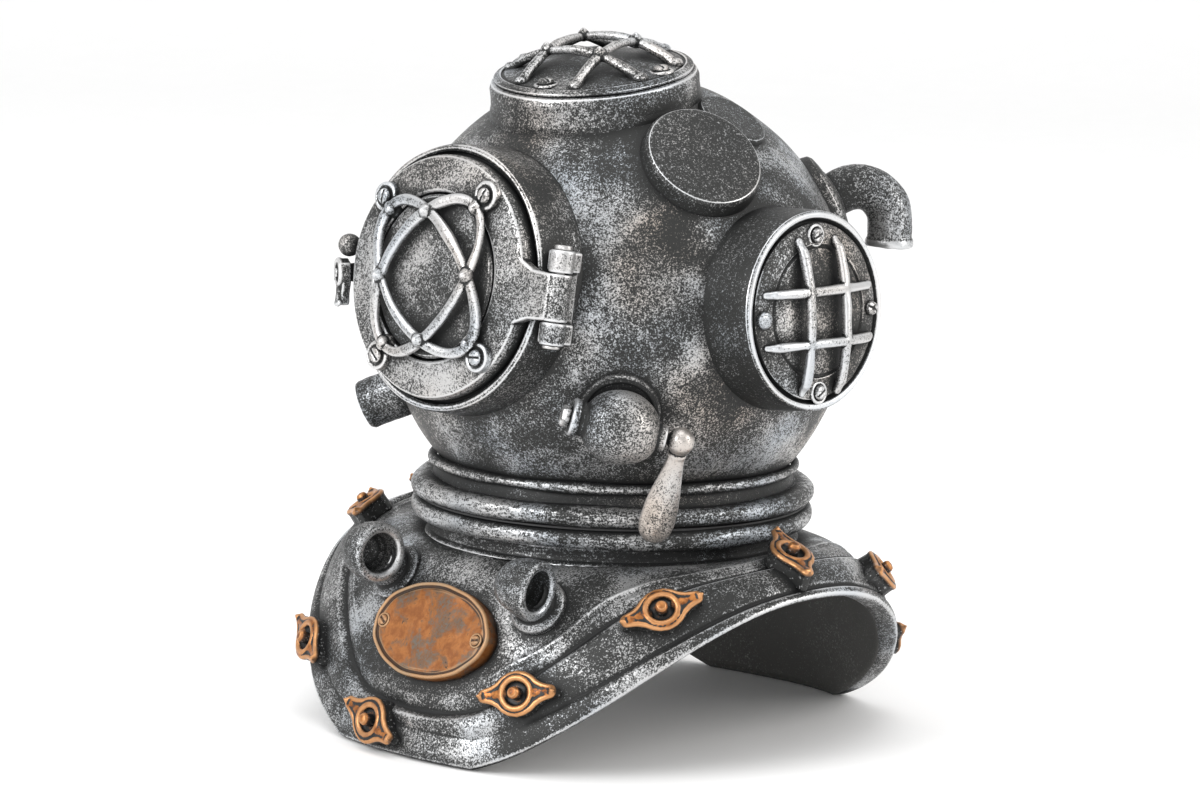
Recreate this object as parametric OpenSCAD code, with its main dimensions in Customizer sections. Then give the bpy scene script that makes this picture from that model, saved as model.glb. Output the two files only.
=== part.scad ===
// Diving-helmet bubbling ornament for an aquarium: a hollow dome with hinged
// front door, caged side and top ports, a two-ring neck and a saddle-shaped
// breastplate with wing nuts. Airline enters at the rear elbow, bubbles leave
// by the side stub. Z is up, the front door faces -Y, the wearer's left is +X.

/* [Dome] */
// outer radius of the dome
dome_r = 48; // [40:0.5:60]
// height of the dome's centre above the ground
dome_h = 86; // [70:1:100]
// wall thickness of the dome
dome_wall = 3; // [2:0.25:5]
// height of the front port's axis above the dome's centre
port_rise = 2.2; // [0:0.1:5]
// height of the side ports' axes above the dome's centre
side_rise = 1.5; // [0:0.1:5]

/* [Neck] */
// inner radius of the neck passage
neck_bore_r = 34; // [28:0.5:36]
// outer radius of the two neck rings
ring_r = 41.5; // [38:0.1:44]
// outer radius of the straight neck collar
collar_r = 37.5; // [35:0.1:40]
// height where the collar meets the breastplate
collar_h = 38.4; // [30:0.1:45]

/* [Breastplate] */
// half of the width across the shoulders
bp_half_w = 59.3; // [45:0.1:75]
// half of the length front to back
bp_half_l = 57.3; // [45:0.1:75]
// squareness of the rim's plan outline, 2 is an ellipse
bp_square = 2.2; // [2:0.1:4]
// height of the rim at the shoulders
bp_shoulder = 34; // [20:0.5:45]
// steepness of the shoulder arches
bp_arch = 2.2; // [1.5:0.1:4]
// how far the neck stands behind the plate's middle
neck_back = 1.9; // [0:0.1:5]
// wall thickness of the plate
bp_wall = 3; // [2:0.25:5]

/* [Front door] */
// radius of the door
door_r = 24.3; // [20:0.1:28]
// upward tilt of the front port
door_tilt = 8.5; // [0:0.5:15]
// distance of the door's face edge from the dome's centre
door_d = 52.6; // [50:0.1:58]
// distance of the hinge pin from the middle of the door
hinge_x = 31.7; // [28:0.1:36]
// radius of the hinge barrel
hinge_r = 2.45; // [1.8:0.05:3.5]
// radius of the hinge pin
pin_r = 0.9; // [0.6:0.05:1.4]

/* [Side and top ports] */
// outer radius of the side ports' face
side_r = 19.1; // [15:0.1:24]
// distance of the side ports' face edge from the dome's centre
side_d = 54.8; // [50:0.1:60]
// upward tilt of the side ports
side_tilt = 4; // [0:0.5:10]
// outer radius of the top port
top_r = 21.2; // [18:0.1:26]
// forward tilt of the top port
top_tilt = 9.8; // [0:0.1:15]
// distance of the top port's face edge from the dome's centre
top_d = 49.6; // [48:0.1:54]

/* [Air fittings] */
// outside radius of the rear elbows' pipe
elbow_r = 4.6; // [4.2:0.1:6]
// radius of the airline socket, for a 6 mm airline tube
airline_r = 3.1; // [2.1:0.05:3.4]
// depth of the airline socket
airline_len = 6.5; // [5:0.5:8]
// outside radius of the bubble outlet stub
stub_r = 5.2; // [4:0.1:7]

/* [Hidden] */
$fn = 96;

// where each wing nut stands on the plate: angle from the front, share of the
// way from the collar to the rim, and how far its wings are turned
nut_at = [[-5.6, 0.93, -18], [26.5, 0.84, -16], [56.3, 0.77, -3], [88.6, 0.66, 70], [118, 0.8, 12],
  [145, 0.9, 12], [177, 0.92, 12], [208, 0.88, 12], [238, 0.82, 12], [268, 0.7, 12], [296, 0.62, 12], [322.9, 0.93, 12]];
hinge_d = 50;
latch_at = [-29.5, -48, 12.8];

// ---- breastplate surface -------------------------------------------------
function spow(v, e) = sign(v) * pow(abs(v), e);
function rim_u(t) = pow(abs(cos(t)), 2 / bp_square);
function rim_x(t) = bp_half_w * spow(sin(t), 2 / bp_square);
function rim_y(t) = -bp_half_l * spow(cos(t), 2 / bp_square);
function rim_z(t) = max(0, (bp_shoulder + 3) * (1 - pow(rim_u(t), bp_arch)) - 3);
function skin(t, w) = let (s2 = pow(sin(t), 2),
    x = collar_r * sin(t), y = neck_back - collar_r * cos(t))
  [x + (rim_x(t) - x) * w, y + (rim_y(t) - y) * w,
   collar_h + (rim_z(t) - collar_h) * pow(w, 1.8 + 1.4 * s2)
     + (0.8 + 1.7 * s2) * 4 * w * (1 - w)];
function unit(v) = v / norm(v);
function along(t, w) = unit(skin(t + 1, w) - skin(t - 1, w));
function outward(t, w) = let (a = min(1, w + 0.02), b = max(0.0, w - 0.02))
  unit(cross(skin(t, a) - skin(t, b), skin(t + 1, w) - skin(t - 1, w)));
function inner(t, w) = let (s = pow(2 * w - 1, 6), p = skin(t, w),
    q = p - bp_wall * ((1 - s) * outward(t, w) + s * [sin(t), -cos(t), 0]))
  [q[0], q[1], max(q[2], rim_z(t))];

// a child placed on the plate's skin: X runs along the rim, Z stands outward
module on_plate(t, w, lift = 0, spin = 0) {
  n = outward(t, w); e = along(t, w); f = cross(n, e); p = skin(t, w) + n * lift;
  multmatrix([[e[0], f[0], n[0], p[0]], [e[1], f[1], n[1], p[1]],
    [e[2], f[2], n[2], p[2]], [0, 0, 0, 1]]) rotate([0, 0, spin]) children();
}

// closed strip between two surfaces given on a grid of nt by nw+1 points
module shell_of(top, bottom, nt, nw) {
  n = nt * (nw + 1);
  polyhedron(concat(top, bottom), concat(
    [for (i = [0:nt-1], j = [0:nw-1]) let (a = i*(nw+1)+j, b = ((i+1)%nt)*(nw+1)+j) each [[a, b, b+1], [a, b+1, a+1]]],
    [for (i = [0:nt-1], j = [0:nw-1]) let (a = n+i*(nw+1)+j, b = n+((i+1)%nt)*(nw+1)+j) each [[a, b+1, b], [a, a+1, b+1]]],
    [for (i = [0:nt-1]) let (a = i*(nw+1), b = ((i+1)%nt)*(nw+1)) each [[a, n+a, n+b], [a, n+b, b]]],
    [for (i = [0:nt-1]) let (a = i*(nw+1)+nw, b = ((i+1)%nt)*(nw+1)+nw) each [[a, b, n+b], [a, n+b, n+a]]]));
}

// closed loop tube: m rings of k points
module loop_tube(rings, m, k) {
  polyhedron([for (r = rings) each r], [for (i = [0:m-1], j = [0:k-1])
    let (a = i*k+j, b = i*k+(j+1)%k, c = ((i+1)%m)*k+(j+1)%k, d = ((i+1)%m)*k+j) each [[a, b, c], [a, c, d]]]);
}

// ---- placing on the dome -------------------------------------------------
// local Z points out at azimuth az (from the front toward +X) and elevation el
module face(az, el, rise = 0) {
  translate([0, neck_back, dome_h + rise]) rotate([90 - el, 0, az]) children();
}
module front() { face(0, door_tilt, port_rise) children(); }
module on_dome(az, el) { face(az, el) children(); }
module dome_ball(extra = 0) { translate([0, neck_back, dome_h]) sphere(r = dome_r + extra, $fn = 200); }

module ring(r1, r2, h) { difference() { cylinder(r = r2, h = h); translate([0, 0, -1]) cylinder(r = r1, h = h + 2); } }
module lathe(pts) { rotate_extrude() polygon(pts); }
module neck_lathe(pts) { translate([0, neck_back, 0]) lathe(pts); }
module screw_head(r, h) { difference() { cylinder(r = r, h = h); translate([-r, -0.25 * r / 1.4, h - 0.45]) cube([2 * r, 0.5 * r / 1.4, 1]); } }
module bar(a, b, r) { hull() { translate(a) sphere(r = r, $fn = 12); translate(b) sphere(r = r, $fn = 12); } }

// ---- breastplate ---------------------------------------------------------
module breastplate() {
  color([0.2, 0.21, 0.21]) {
    nt = 96; nw = 12;
    shell_of([for (i = [0:nt-1], j = [0:nw]) skin(i*360/nt, j/nw)],
      [for (i = [0:nt-1], j = [0:nw]) inner(i*360/nt, j/nw)], nt, nw);
  }
}
module rim_bead() {
  color([0.45, 0.45, 0.44]) {
    nt = 96; k = 8;
    loop_tube([for (i = [0:nt-1]) let (t = i*360/nt, c = skin(t, 0.955), n = outward(t, 0.955), e = along(t, 0.955), f = cross(n, e))
      [for (j = [0:k-1]) c + 1.35 * (n * sin(-j*360/k) + f * cos(j*360/k)) + [0, 0, 0.5]]], nt, k);
  }
}
function band_in(t) = 0.6 + 0.27 * pow(abs(cos(t)), 3);
module brail_band() {
  color([0.3, 0.31, 0.31]) {
    nt = 96; nw = 4;
    shell_of([for (i = [0:nt-1], j = [0:nw]) let (t = i*360/nt, w = band_in(t) + (0.93 - band_in(t)) * j/nw) skin(t, w) + outward(t, w) * 0.9],
      [for (i = [0:nt-1], j = [0:nw]) let (t = i*360/nt, w = band_in(t) + (0.93 - band_in(t)) * j/nw) skin(t, w) - outward(t, w) * 0.6], nt, nw);
  }
}
module stud() { translate([0, 0, -1.5]) cylinder(r = 1.3, h = 7.2); translate([0, 0, 5.7]) cylinder(r1 = 1.3, r2 = 0.9, h = 0.5); }
module studs() { color([0.75, 0.42, 0.18]) for (p = nut_at) on_plate(p[0], p[1]) stud($fn = 24); }
// two-winged nut with a round recess around the stud
module wing_nut(l = 8.6, w = 5) {
  difference() {
    linear_extrude(height = 3.9) polygon([[-l, -0.9], [-0.72*l, -1.3], [-0.45*l, -0.62*w], [-0.2*l, -0.85*w], [0, -0.92*w], [0.2*l, -0.85*w], [0.45*l, -0.62*w], [0.72*l, -1.3], [l, -0.9],
      [l, 0.9], [0.72*l, 1.3], [0.45*l, 0.62*w], [0.2*l, 0.85*w], [0, 0.92*w], [-0.2*l, 0.85*w], [-0.45*l, 0.62*w], [-0.72*l, 1.3], [-l, 0.9]]);
    translate([0, 0, -1]) cylinder(r = 1.35, h = 6, $fn = 24);
    translate([0, 0, 2.6]) cylinder(r = 2.7, h = 3, $fn = 32);
  }
}
module wing_nuts() { color([0.78, 0.44, 0.18]) for (i = [0:len(nut_at)-1]) on_plate(nut_at[i][0], nut_at[i][1], 0.95, nut_at[i][2]) wing_nut(); }

// ---- neck ----------------------------------------------------------------
module neck_collar() {
  color([0.25, 0.26, 0.26]) neck_lathe([[neck_bore_r + 0.5, collar_h + 0.02], [collar_r + 0.9, collar_h + 0.02], [collar_r + 0.3, collar_h + 0.8],
    [collar_r, collar_h + 1.8], [collar_r, 42], [neck_bore_r + 0.5, 42]]);
}
module bead_ring(z0, z1, r_in, r_out) {
  zm = (z0 + z1) / 2; hh = (z1 - z0) / 2;
  neck_lathe(concat([[r_in, z0], [r_out - hh, z0]], [for (a = [-75:15:75]) [r_out - hh + hh * cos(a), zm + hh * sin(a)]], [[r_out - hh, z1], [r_in, z1]]));
}
module neck_ring_lower() { color([0.42, 0.42, 0.41]) bead_ring(42.02, 46.2, neck_bore_r + 0.5, ring_r); }
module neck_gasket() { color([0.08, 0.08, 0.08]) neck_lathe([[neck_bore_r + 0.5, 46.22], [40.2, 46.22], [40.2, 46.68], [neck_bore_r + 0.5, 46.68]]); }
module neck_ring_upper() { color([0.42, 0.42, 0.41]) bead_ring(46.7, 50.7, collar_r - 0.2, ring_r + 0.2); }
module neck_lip() { color([0.42, 0.42, 0.41]) bead_ring(53.1, 55.1, 36.9, 38.5); }

// ---- helmet shell --------------------------------------------------------
module helmet_casting() {
  difference() {
    union() {
      dome_ball();
      translate([0, neck_back, 46.7]) cylinder(r = collar_r - 0.25, h = 8);
    }
    dome_ball(-dome_wall);
    translate([0, neck_back, 20]) cylinder(r = neck_bore_r, h = dome_h - 52);
    front() translate([0, 0, 30]) cylinder(r = 17.5, h = 30);
    face(90, side_tilt, side_rise) translate([0, 0, 30]) cylinder(r = 12, h = 30);
    face(-90, side_tilt, side_rise) translate([0, 0, 30]) cylinder(r = 12, h = 30);
    top_place() translate([0, 0, 30]) cylinder(r = 12, h = 30);
    on_dome(elbow_az, elbow_el) translate([0, 0, 30]) cylinder(r = elbow_r + 0.05, h = 30);
    on_dome(-elbow_az, elbow_el) translate([0, 0, 30]) cylinder(r = elbow_r + 0.05, h = 30);
    on_dome(stub_az, stub_el) translate([0, 0, 30]) cylinder(r = stub_r + 0.05, h = 30);
  }
}
// the shell is made of gores that stand a hair apart, so that every solid is a plain curved plate
module gore(i, z0, z1) {
  translate([0, neck_back, z0 + 0.01]) intersection() {
    rotate([0, 0, i * 45]) translate([0, 0.01, 0]) cube([80, 80, z1 - z0 - 0.02]);
    rotate([0, 0, i * 45 - 45]) translate([0, -0.01, 0]) cube([80, 80, z1 - z0 - 0.02]);
  }
}
module helmet_shell() {
  color([0.22, 0.23, 0.23]) for (i = [0:7], z = [[40, dome_h], [dome_h, 150]]) intersection() {
    helmet_casting();
    gore(i, z[0], z[1]);
  }
}

// ---- front port ----------------------------------------------------------
module front_frame() {
  color([0.3, 0.31, 0.31]) difference() {
    front() lathe([[17.5, 36], [27, 36], [26.9, 44], [26.8, 48.8], [26.4, 49.8], [25.6, 50.1], [25, 49.8], [24.9, 48.2], [17.5, 48.2]]);
    dome_ball(0.02);
  }
}
module knuckle(y0, y1) { translate([hinge_x, y1, hinge_d]) rotate([90, 0, 0]) ring(pin_r + 0.05, hinge_r, y1 - y0); }
module hinge_bracket() {
  color([0.5, 0.5, 0.48]) front() {
    difference() {
      union() {
        for (y = [[4.5, 8.9], [-9.7, -5.1]]) {
          translate([hinge_x, y[1], hinge_d]) rotate([90, 0, 0]) cylinder(r = hinge_r, h = y[1] - y[0]);
          translate([26.2, y[0], 44.5]) cube([hinge_x - 26.2, y[1] - y[0], 4.6]);
        }
        translate([26.6, -9.7, 43.4]) cube([3.6, 18.6, 3]);
      }
      translate([hinge_x, 20, hinge_d]) rotate([90, 0, 0]) cylinder(r = pin_r + 0.05, h = 40);
      translate([0, 0, 36]) cylinder(r = 26.83, h = 20);
    }
  }
}
module hinge_pin() {
  color([0.6, 0.6, 0.58]) front() translate([hinge_x, 0, hinge_d]) rotate([90, 0, 0]) {
    translate([0, 0, -9.7]) cylinder(r = pin_r, h = 20.1);
    translate([0, 0, -9.9]) cylinder(r = 1.8, h = 0.9);
    translate([0, 0, 9.8]) cylinder(r = 1.8, h = 0.9);
  }
}
module front_door() {
  color([0.36, 0.37, 0.37]) front() difference() {
    union() {
      lathe([[0, 48.35], [23.9, 48.35], [24.4, 49.1], [24.4, 51.4], [door_r, door_d - 0.3], [23.8, door_d], [16.4, door_d + 0.9], [0, door_d + 0.9]]);
      translate([22, -5, 50.3]) cube([hinge_x - 22, 9.3, 2]);
      translate([hinge_x, 4.3, hinge_d]) rotate([90, 0, 0]) cylinder(r = hinge_r, h = 9.3);
    }
    translate([hinge_x, 20, hinge_d]) rotate([90, 0, 0]) cylinder(r = pin_r + 0.05, h = 40);
    translate([0, 0, 51]) cylinder(r = 16.3, h = 10);
    translate([0, 0, 40]) cylinder(r = 14, h = 20);
  }
}
module domed_disc(r, z0, edge, top) {
  // disc of radius r whose front swells from height edge to height top
  lathe(concat([[0, z0], [r, z0]], [for (q = [10:-1:0]) [r * q / 10, top - (top - edge) * pow(q / 10, 2)]]));
}
module front_window() { color([0.3, 0.31, 0.32]) front() domed_disc(16.2, 51.02, 53.4, 54.6); }
guard_spin = 6;
// height of the front guard above the door's middle plane at radius r
function cage_z(r) = door_d + 4.6 - 3.6 * pow(r / 21, 2);
function oval(a, spin) = let (x = 18.2 * cos(a), y = 10.2 * sin(a), c = cos(spin), s = sin(spin))
  [x * c - y * s, x * s + y * c, cage_z(norm([x, y]))];
module front_guard() {
  color([0.55, 0.55, 0.53]) front() rotate([0, 0, guard_spin]) {
    for (spin = [48.5, -48.5], a = [0:10:350]) bar(oval(a, spin), oval(a + 10, spin), 0.95);
    for (p = [[12.4, 0], [-12.4, 0], [0, 12.8], [0, -12.8]]) translate([p[0], p[1], cage_z(12.6) + 0.5]) sphere(r = 1.35, $fn = 16);
    for (sx = [-1, 1], sy = [-1, 1]) hull() {
      translate([sx * 14.15, sy * 15.9, door_d - 0.05]) cylinder(r = 2.9, h = 1.3, $fn = 32);
      translate([sx * 12.05, sy * 13.65, door_d + 0.75]) cylinder(r = 1.8, h = 1.4, $fn = 32);
    }
  }
}
module front_guard_screws() {
  color([0.6, 0.6, 0.58]) front() rotate([0, 0, guard_spin]) for (sx = [-1, 1], sy = [-1, 1])
    translate([sx * 14.15, sy * 15.9, door_d + 1.26]) rotate([0, 0, 30 * sx * sy]) screw_head(1.6, 1.1, $fn = 32);
}

// ---- door latch ----------------------------------------------------------
module latch_frame() { translate([latch_at[0], neck_back + latch_at[1], dome_h + latch_at[2]]) rotate([90, 0, -31]) children(); }
module latch_bracket() {
  color([0.3, 0.3, 0.3]) difference() {
    union() {
      latch_frame() sphere(r = 2.25);
      latch_frame() translate([0, 0, -8]) cylinder(r = 1.5, h = 8);
      latch_frame() translate([-0.3, -5.7, -8]) cylinder(r = 2.2, h = 7.9);
      latch_frame() translate([-0.3, -5.7, -8]) cylinder(r = 1, h = 11.1);
      latch_frame() translate([-2, -5.7, -8]) cube([4, 5.7, 3]);
    }
    front() translate([0, 0, 30]) cylinder(r = 26.85, h = 30);
  }
}
module latch_wing_nut() {
  color([0.3, 0.3, 0.3]) latch_frame() translate([-0.3, -5.7, 0]) rotate([0, 0, 90]) difference() {
    union() {
      linear_extrude(height = 3) polygon([[-6.6, -1.3], [-4.4, -1.5], [-2.2, -2.6], [0, -3.1], [2.2, -2.6], [3, 0], [2.2, 2.6], [0, 3.1], [-2.2, 2.6], [-4.4, 1.5], [-6.6, 1.3]]);
    }
    translate([0, 0, -1]) cylinder(r = 1.05, h = 9);
    translate([0, 0, 1.9]) cylinder(r = 2.1, h = 5);
  }
}

// ---- top port ------------------------------------------------------------
module top_place() { translate([0, -2, 0]) face(9, 90 - top_tilt) rotate([0, 0, 1]) children(); }
module top_frame() {
  color([0.34, 0.34, 0.34]) difference() {
    top_place() lathe([[12, 38], [top_r + 0.5, 38], [top_r + 0.4, 43.5], [top_r, 44.2], [top_r, 48.4], [top_r - 0.7, 49], [top_r - 1.4, 49], [12, 49]]);
    dome_ball(0.02);
  }
}
module top_plate() { color([0.32, 0.33, 0.33]) top_place() domed_disc(top_r - 0.9, 49.02, 49.7, 52.4); }
function top_cage(r) = top_d + 6.9 - 5.9 * pow(r / 17.5, 2);
module cage_bar(side, dirx, s) {
  // one bar at offset s, running along X (dirx) or Y, following the cage's height
  for (u = [-16:4:12]) bar(cage_pt(side, dirx, s, u), cage_pt(side, dirx, s, u + 4), 0.95);
}
function cage_pt(side, dirx, s, u) = let (p = dirx ? [u, s] : [s, u], r = norm(p))
  [p[0], p[1], side ? side_cage(r) : top_cage(r)];
module top_guard() {
  color([0.5, 0.5, 0.48]) top_place() {
    for (s = [-6.5, 6.5]) { cage_bar(false, true, s); cage_bar(false, false, s); }
    for (x = [-6.5, 6.5], y = [-6.5, 6.5]) translate([x, y, top_cage(9.2) + 0.4]) sphere(r = 1.4, $fn = 16);
  }
}
module top_screws() {
  color([0.6, 0.6, 0.58]) top_place() for (a = [0:90:270]) rotate([0, 0, a]) translate([16.6, 0, 50.35]) screw_head(1.7, 1.5, $fn = 32);
}

// ---- side ports ----------------------------------------------------------
function side_cage(r) = side_d + 3.9 - 2.9 * pow(r / 17, 2);
module side_frame() {
  difference() {
    face(90, side_tilt, side_rise) lathe([[12, 38], [20.3, 38], [20.1, 46], [20, 52], [19.8, 54.2], [side_r, side_d], [17.9, side_d], [17.7, 53.6], [12, 53.6]]);
    dome_ball(0.02);
  }
}
module side_plate() { face(90, side_tilt, side_rise) domed_disc(17.6, 53.62, 54.4, 56.4); }
module side_guard() {
  face(90, side_tilt, side_rise) translate([0, -1, 0]) {
    for (s = [-5.2, 5.2]) { cage_bar(true, true, s); cage_bar(true, false, s); }
  }
}
module side_screws() {
  face(90, side_tilt, side_rise) translate([0, -0.6, 0]) for (a = [0:90:270]) rotate([0, 0, a]) translate([15.6, 0, 54.6]) screw_head(1.7, 2.1, $fn = 32);
}
module port_frame() { color([0.3, 0.31, 0.31]) side_frame(); }
module port_plate() { color([0.34, 0.35, 0.35]) side_plate(); }
module port_guard() { color([0.5, 0.5, 0.48]) side_guard(); }
module port_screws() { color([0.6, 0.6, 0.58]) side_screws(); }
module starboard_frame() { color([0.3, 0.31, 0.31]) mirror([1, 0, 0]) side_frame(); }
module starboard_plate() { color([0.34, 0.35, 0.35]) mirror([1, 0, 0]) side_plate(); }
module starboard_guard() { color([0.5, 0.5, 0.48]) mirror([1, 0, 0]) side_guard(); }
module starboard_screws() { color([0.6, 0.6, 0.58]) mirror([1, 0, 0]) side_screws(); }

// ---- bosses on the dome --------------------------------------------------
module side_boss() {
  color([0.24, 0.25, 0.25]) difference() {
    on_dome(71.5, 44.3) lathe([[0, 44], [12.2, 44], [12.2, 49.6], [11.9, 50.1], [0, 50.4]]);
    dome_ball(0.02);
    top_place() translate([0, 0, 30]) cylinder(r = top_r + 0.55, h = 25);
  }
}
module small_boss() {
  color([0.22, 0.23, 0.23]) difference() {
    on_dome(101, 57) lathe([[0, 44], [7.4, 44], [7.4, 48.5], [7.2, 48.8], [0, 49]]);
    dome_ball(0.02);
    top_place() translate([0, 0, 30]) cylinder(r = top_r + 0.55, h = 25);
    on_dome(71.5, 44.3) translate([0, 0, 40]) cylinder(r = 12.3, h = 12);
  }
}

// ---- rear elbows, stub and spitcock --------------------------------------
elbow_az = 142;
elbow_el = 28;
stub_az = -52;
stub_el = -24;
// pipe leaves the dome along Z, bends through 118 degrees and opens downward
module elbow_solid(r, from) {
  translate([0, 0, from]) cylinder(r = r, h = 52 - from);
  translate([0, 0, 52]) rotate([0, 0, 90]) rotate([90, 0, 0]) translate([-7, 0, 0]) rotate_extrude(angle = 118) translate([7, 0]) circle(r = r, $fn = 48);
}
module at_mouth() {
  // the bend's far end: Z runs out of the mouth
  translate([0, 0, 52]) rotate([0, 0, 90]) rotate([90, 0, 0]) translate([-7, 0, 0]) rotate([0, 0, 118]) translate([7, 0, 0]) rotate([-90, 0, 0]) children();
}
module rear_elbow(mouth_r) {
  difference() {
    union() {
      elbow_solid(elbow_r, 42);
      at_mouth() lathe([[0, -0.6], [elbow_r - 0.35, -0.6], [elbow_r - 0.35, -0.1], [elbow_r + 0.06, 0.1], [elbow_r + 0.06, 3], [elbow_r + 0.4, 4], [elbow_r + 0.4, 5.5], [0, 5.5]]);
    }
    elbow_solid(2, 40);
    at_mouth() translate([0, 0, 5.5 - airline_len]) cylinder(r = mouth_r, h = airline_len + 1);
  }
}
module air_elbow() { color([0.34, 0.34, 0.33]) on_dome(elbow_az, elbow_el) rear_elbow(airline_r); }
module cable_elbow() { color([0.34, 0.34, 0.33]) on_dome(-elbow_az, elbow_el) rear_elbow(airline_r); }
module elbow_flange() { difference() { lathe([[elbow_r + 0.05, 44], [9.6, 44], [9.6, 48.6], [9, 49.4], [7, 50], [elbow_r + 0.05, 50.4]]); } }
module air_elbow_flange() { color([0.3, 0.31, 0.31]) difference() { on_dome(elbow_az, elbow_el) elbow_flange(); dome_ball(0.02); } }
module cable_elbow_flange() { color([0.3, 0.31, 0.31]) difference() { on_dome(-elbow_az, elbow_el) elbow_flange(); dome_ball(0.02); } }
module bubble_stub() {
  color([0.34, 0.34, 0.33]) on_dome(stub_az, stub_el) difference() {
    lathe([[3.2, 43], [stub_r, 43], [stub_r, 56.8], [stub_r - 0.5, 57.4], [3.7, 57.4], [3.2, 56.9]]);
    translate([0, 0, 40]) cylinder(r = 3.2, h = 5);
  }
}
module spit() { on_dome(45.4, -17.7) rotate([0, 0, -12.8]) children(); }
module spitcock_flange() { color([0.3, 0.31, 0.31]) difference() { spit() lathe([[0, 44], [8, 44], [8, 48.9], [7.4, 49.4], [0, 49.4]]); dome_ball(0.02); } }
module spitcock_body() {
  color([0.42, 0.42, 0.41]) spit() difference() {
    union() {
      translate([0, 0, 55.2]) scale([1.09, 1, 1]) sphere(r = 7.35);
      translate([0, 0, 49.42]) cylinder(r = 5, h = 4);
      translate([-9.6, 0, 55.2]) rotate([0, 90, 0]) cylinder(r = 3.5, h = 3);
      translate([6, 0, 55.2]) rotate([0, 90, 0]) cylinder(r = 2.2, h = 3.4);
    }
    translate([-1, 0, 55.2]) rotate([0, 90, 0]) cylinder(r = 1.05, h = 14);
    translate([-20, -20, 40]) cube([40, 40, 9.42]);
  }
}
module spitcock_cap() { color([0.45, 0.45, 0.44]) spit() translate([-11.6, 0, 55.2]) rotate([0, 90, 0]) { cylinder(r = 2.1, h = 2, $fn = 6); } }
module spitcock_lever() {
  color([0.55, 0.55, 0.53]) spit() translate([0, 0, 55.2]) {
    translate([0.2, 0, 0]) rotate([0, 90, 0]) cylinder(r = 1, h = 12);
    translate([12.3, 0, 0]) sphere(r = 2.8);
    translate([12.3, 0, 0]) rotate([90, 0, 0]) cylinder(r = 1.7, h = 4);
    hull() {
      translate([12.3, -3.4, 0]) scale([1, 1, 0.8]) sphere(r = 1.9, $fn = 32);
      translate([12.3, -19.2, 0]) scale([1, 1, 0.72]) sphere(r = 3.7, $fn = 32);
    }
  }
}

// ---- breastplate fittings ------------------------------------------------
// short pipe elbow with a thick mouth, standing on the plate
module eye(turn, h) {
  translate([0, 0, -0.3]) cylinder(r = 6, h = 1);
  translate([0, 0, 0.5]) cylinder(r1 = 5.6, r2 = 4.5, h = 1.2);
  difference() {
    union() {
      translate([0, 0, 0.5]) cylinder(r = 4.3, h = h - 0.5);
      translate([0, 0, h]) sphere(r = 5.6);
      translate([0, 0, h]) rotate([90, 0, turn]) cylinder(r = 6.2, h = 5.6);
    }
    translate([0, 0, h]) rotate([90, 0, turn]) lathe([[0, -3.2], [2.4, -3], [4.1, -0.6], [4.1, 9], [0, 9]]);
  }
}
module eye_port() { color([0.42, 0.42, 0.41]) on_plate(26.5, 0.49) eye(62, 10.2); }
module eye_starboard() { color([0.42, 0.42, 0.41]) on_plate(-20.8, 0.43) eye(108, 9.8); }
module plaque() {
  color([0.72, 0.38, 0.15]) on_plate(0.5, 0.6, 0.6) scale([1, 0.62, 1]) difference() {
    translate([0, 0, -1.8]) cylinder(r = 16, h = 3.2);
    translate([0, 0, 0.9]) cylinder(r = 14.9, h = 2);
  }
}
module plaque_screws() { color([0.7, 0.45, 0.22]) for (s = [-1, 1]) on_plate(0.5, 0.6, 1.55) translate([s * 13.3, 0, 0]) screw_head(1.1, 0.6, $fn = 24); }

// ---- air system inside ---------------------------------------------------
module air_hose() {
  // from the rear elbow's root down the inside of the dome to the stone
  a = elbow_az; p0 = [sin(a) * cos(elbow_el) * 41.9, neck_back - cos(a) * cos(elbow_el) * 41.9, dome_h + sin(elbow_el) * 41.9];
  u = [sin(a) * cos(elbow_el), -cos(a) * cos(elbow_el), sin(elbow_el)];
  pts = [p0, p0 - u * 4, p0 - u * 9 + [0, 0, -3], p0 - u * 12 + [0, 0, -10], [7, 19, 84], [3, 16, 70], [0, 12 + neck_back, 58]];
  color([0.85, 0.88, 0.88]) {
    m = len(pts); k = 10;
    rings = [for (i = [0:m-1]) let (d = unit(pts[min(m-1, i+1)] - pts[max(0, i-1)]), e = unit(cross(d, [0.3, -1, 0.2])), f = cross(d, e))
      [for (j = [0:k-1]) pts[i] + 1.9 * (e * cos(j*360/k) + f * sin(j*360/k))]];
    polyhedron([for (r = rings) each r], concat(
      [for (i = [0:m-2], j = [0:k-1]) let (a1 = i*k+j, b1 = i*k+(j+1)%k, c1 = (i+1)*k+(j+1)%k, d1 = (i+1)*k+j) each [[a1, c1, b1], [a1, d1, c1]]],
      [[for (j = [0:k-1]) j]], [[for (j = [k-1:-1:0]) (m-1)*k+j]]));
  }
}
module air_stone_cradle() {
  color([0.2, 0.2, 0.22]) difference() {
    union() {
      translate([0, 12 + neck_back, 42.1]) cylinder(r = 8.4, h = 5.9);
      translate([-3, 18 + neck_back, 42.1]) cube([6, 16.8, 3]);
    }
    translate([0, 12 + neck_back, 43.5]) cylinder(r = 7.05, h = 8);
  }
}
module air_stone() { color([0.55, 0.6, 0.66]) translate([0, 12 + neck_back, 43.52]) { cylinder(r = 7, h = 12.4); translate([0, 0, 12.4]) cylinder(r = 2.2, h = 2); } }

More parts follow.
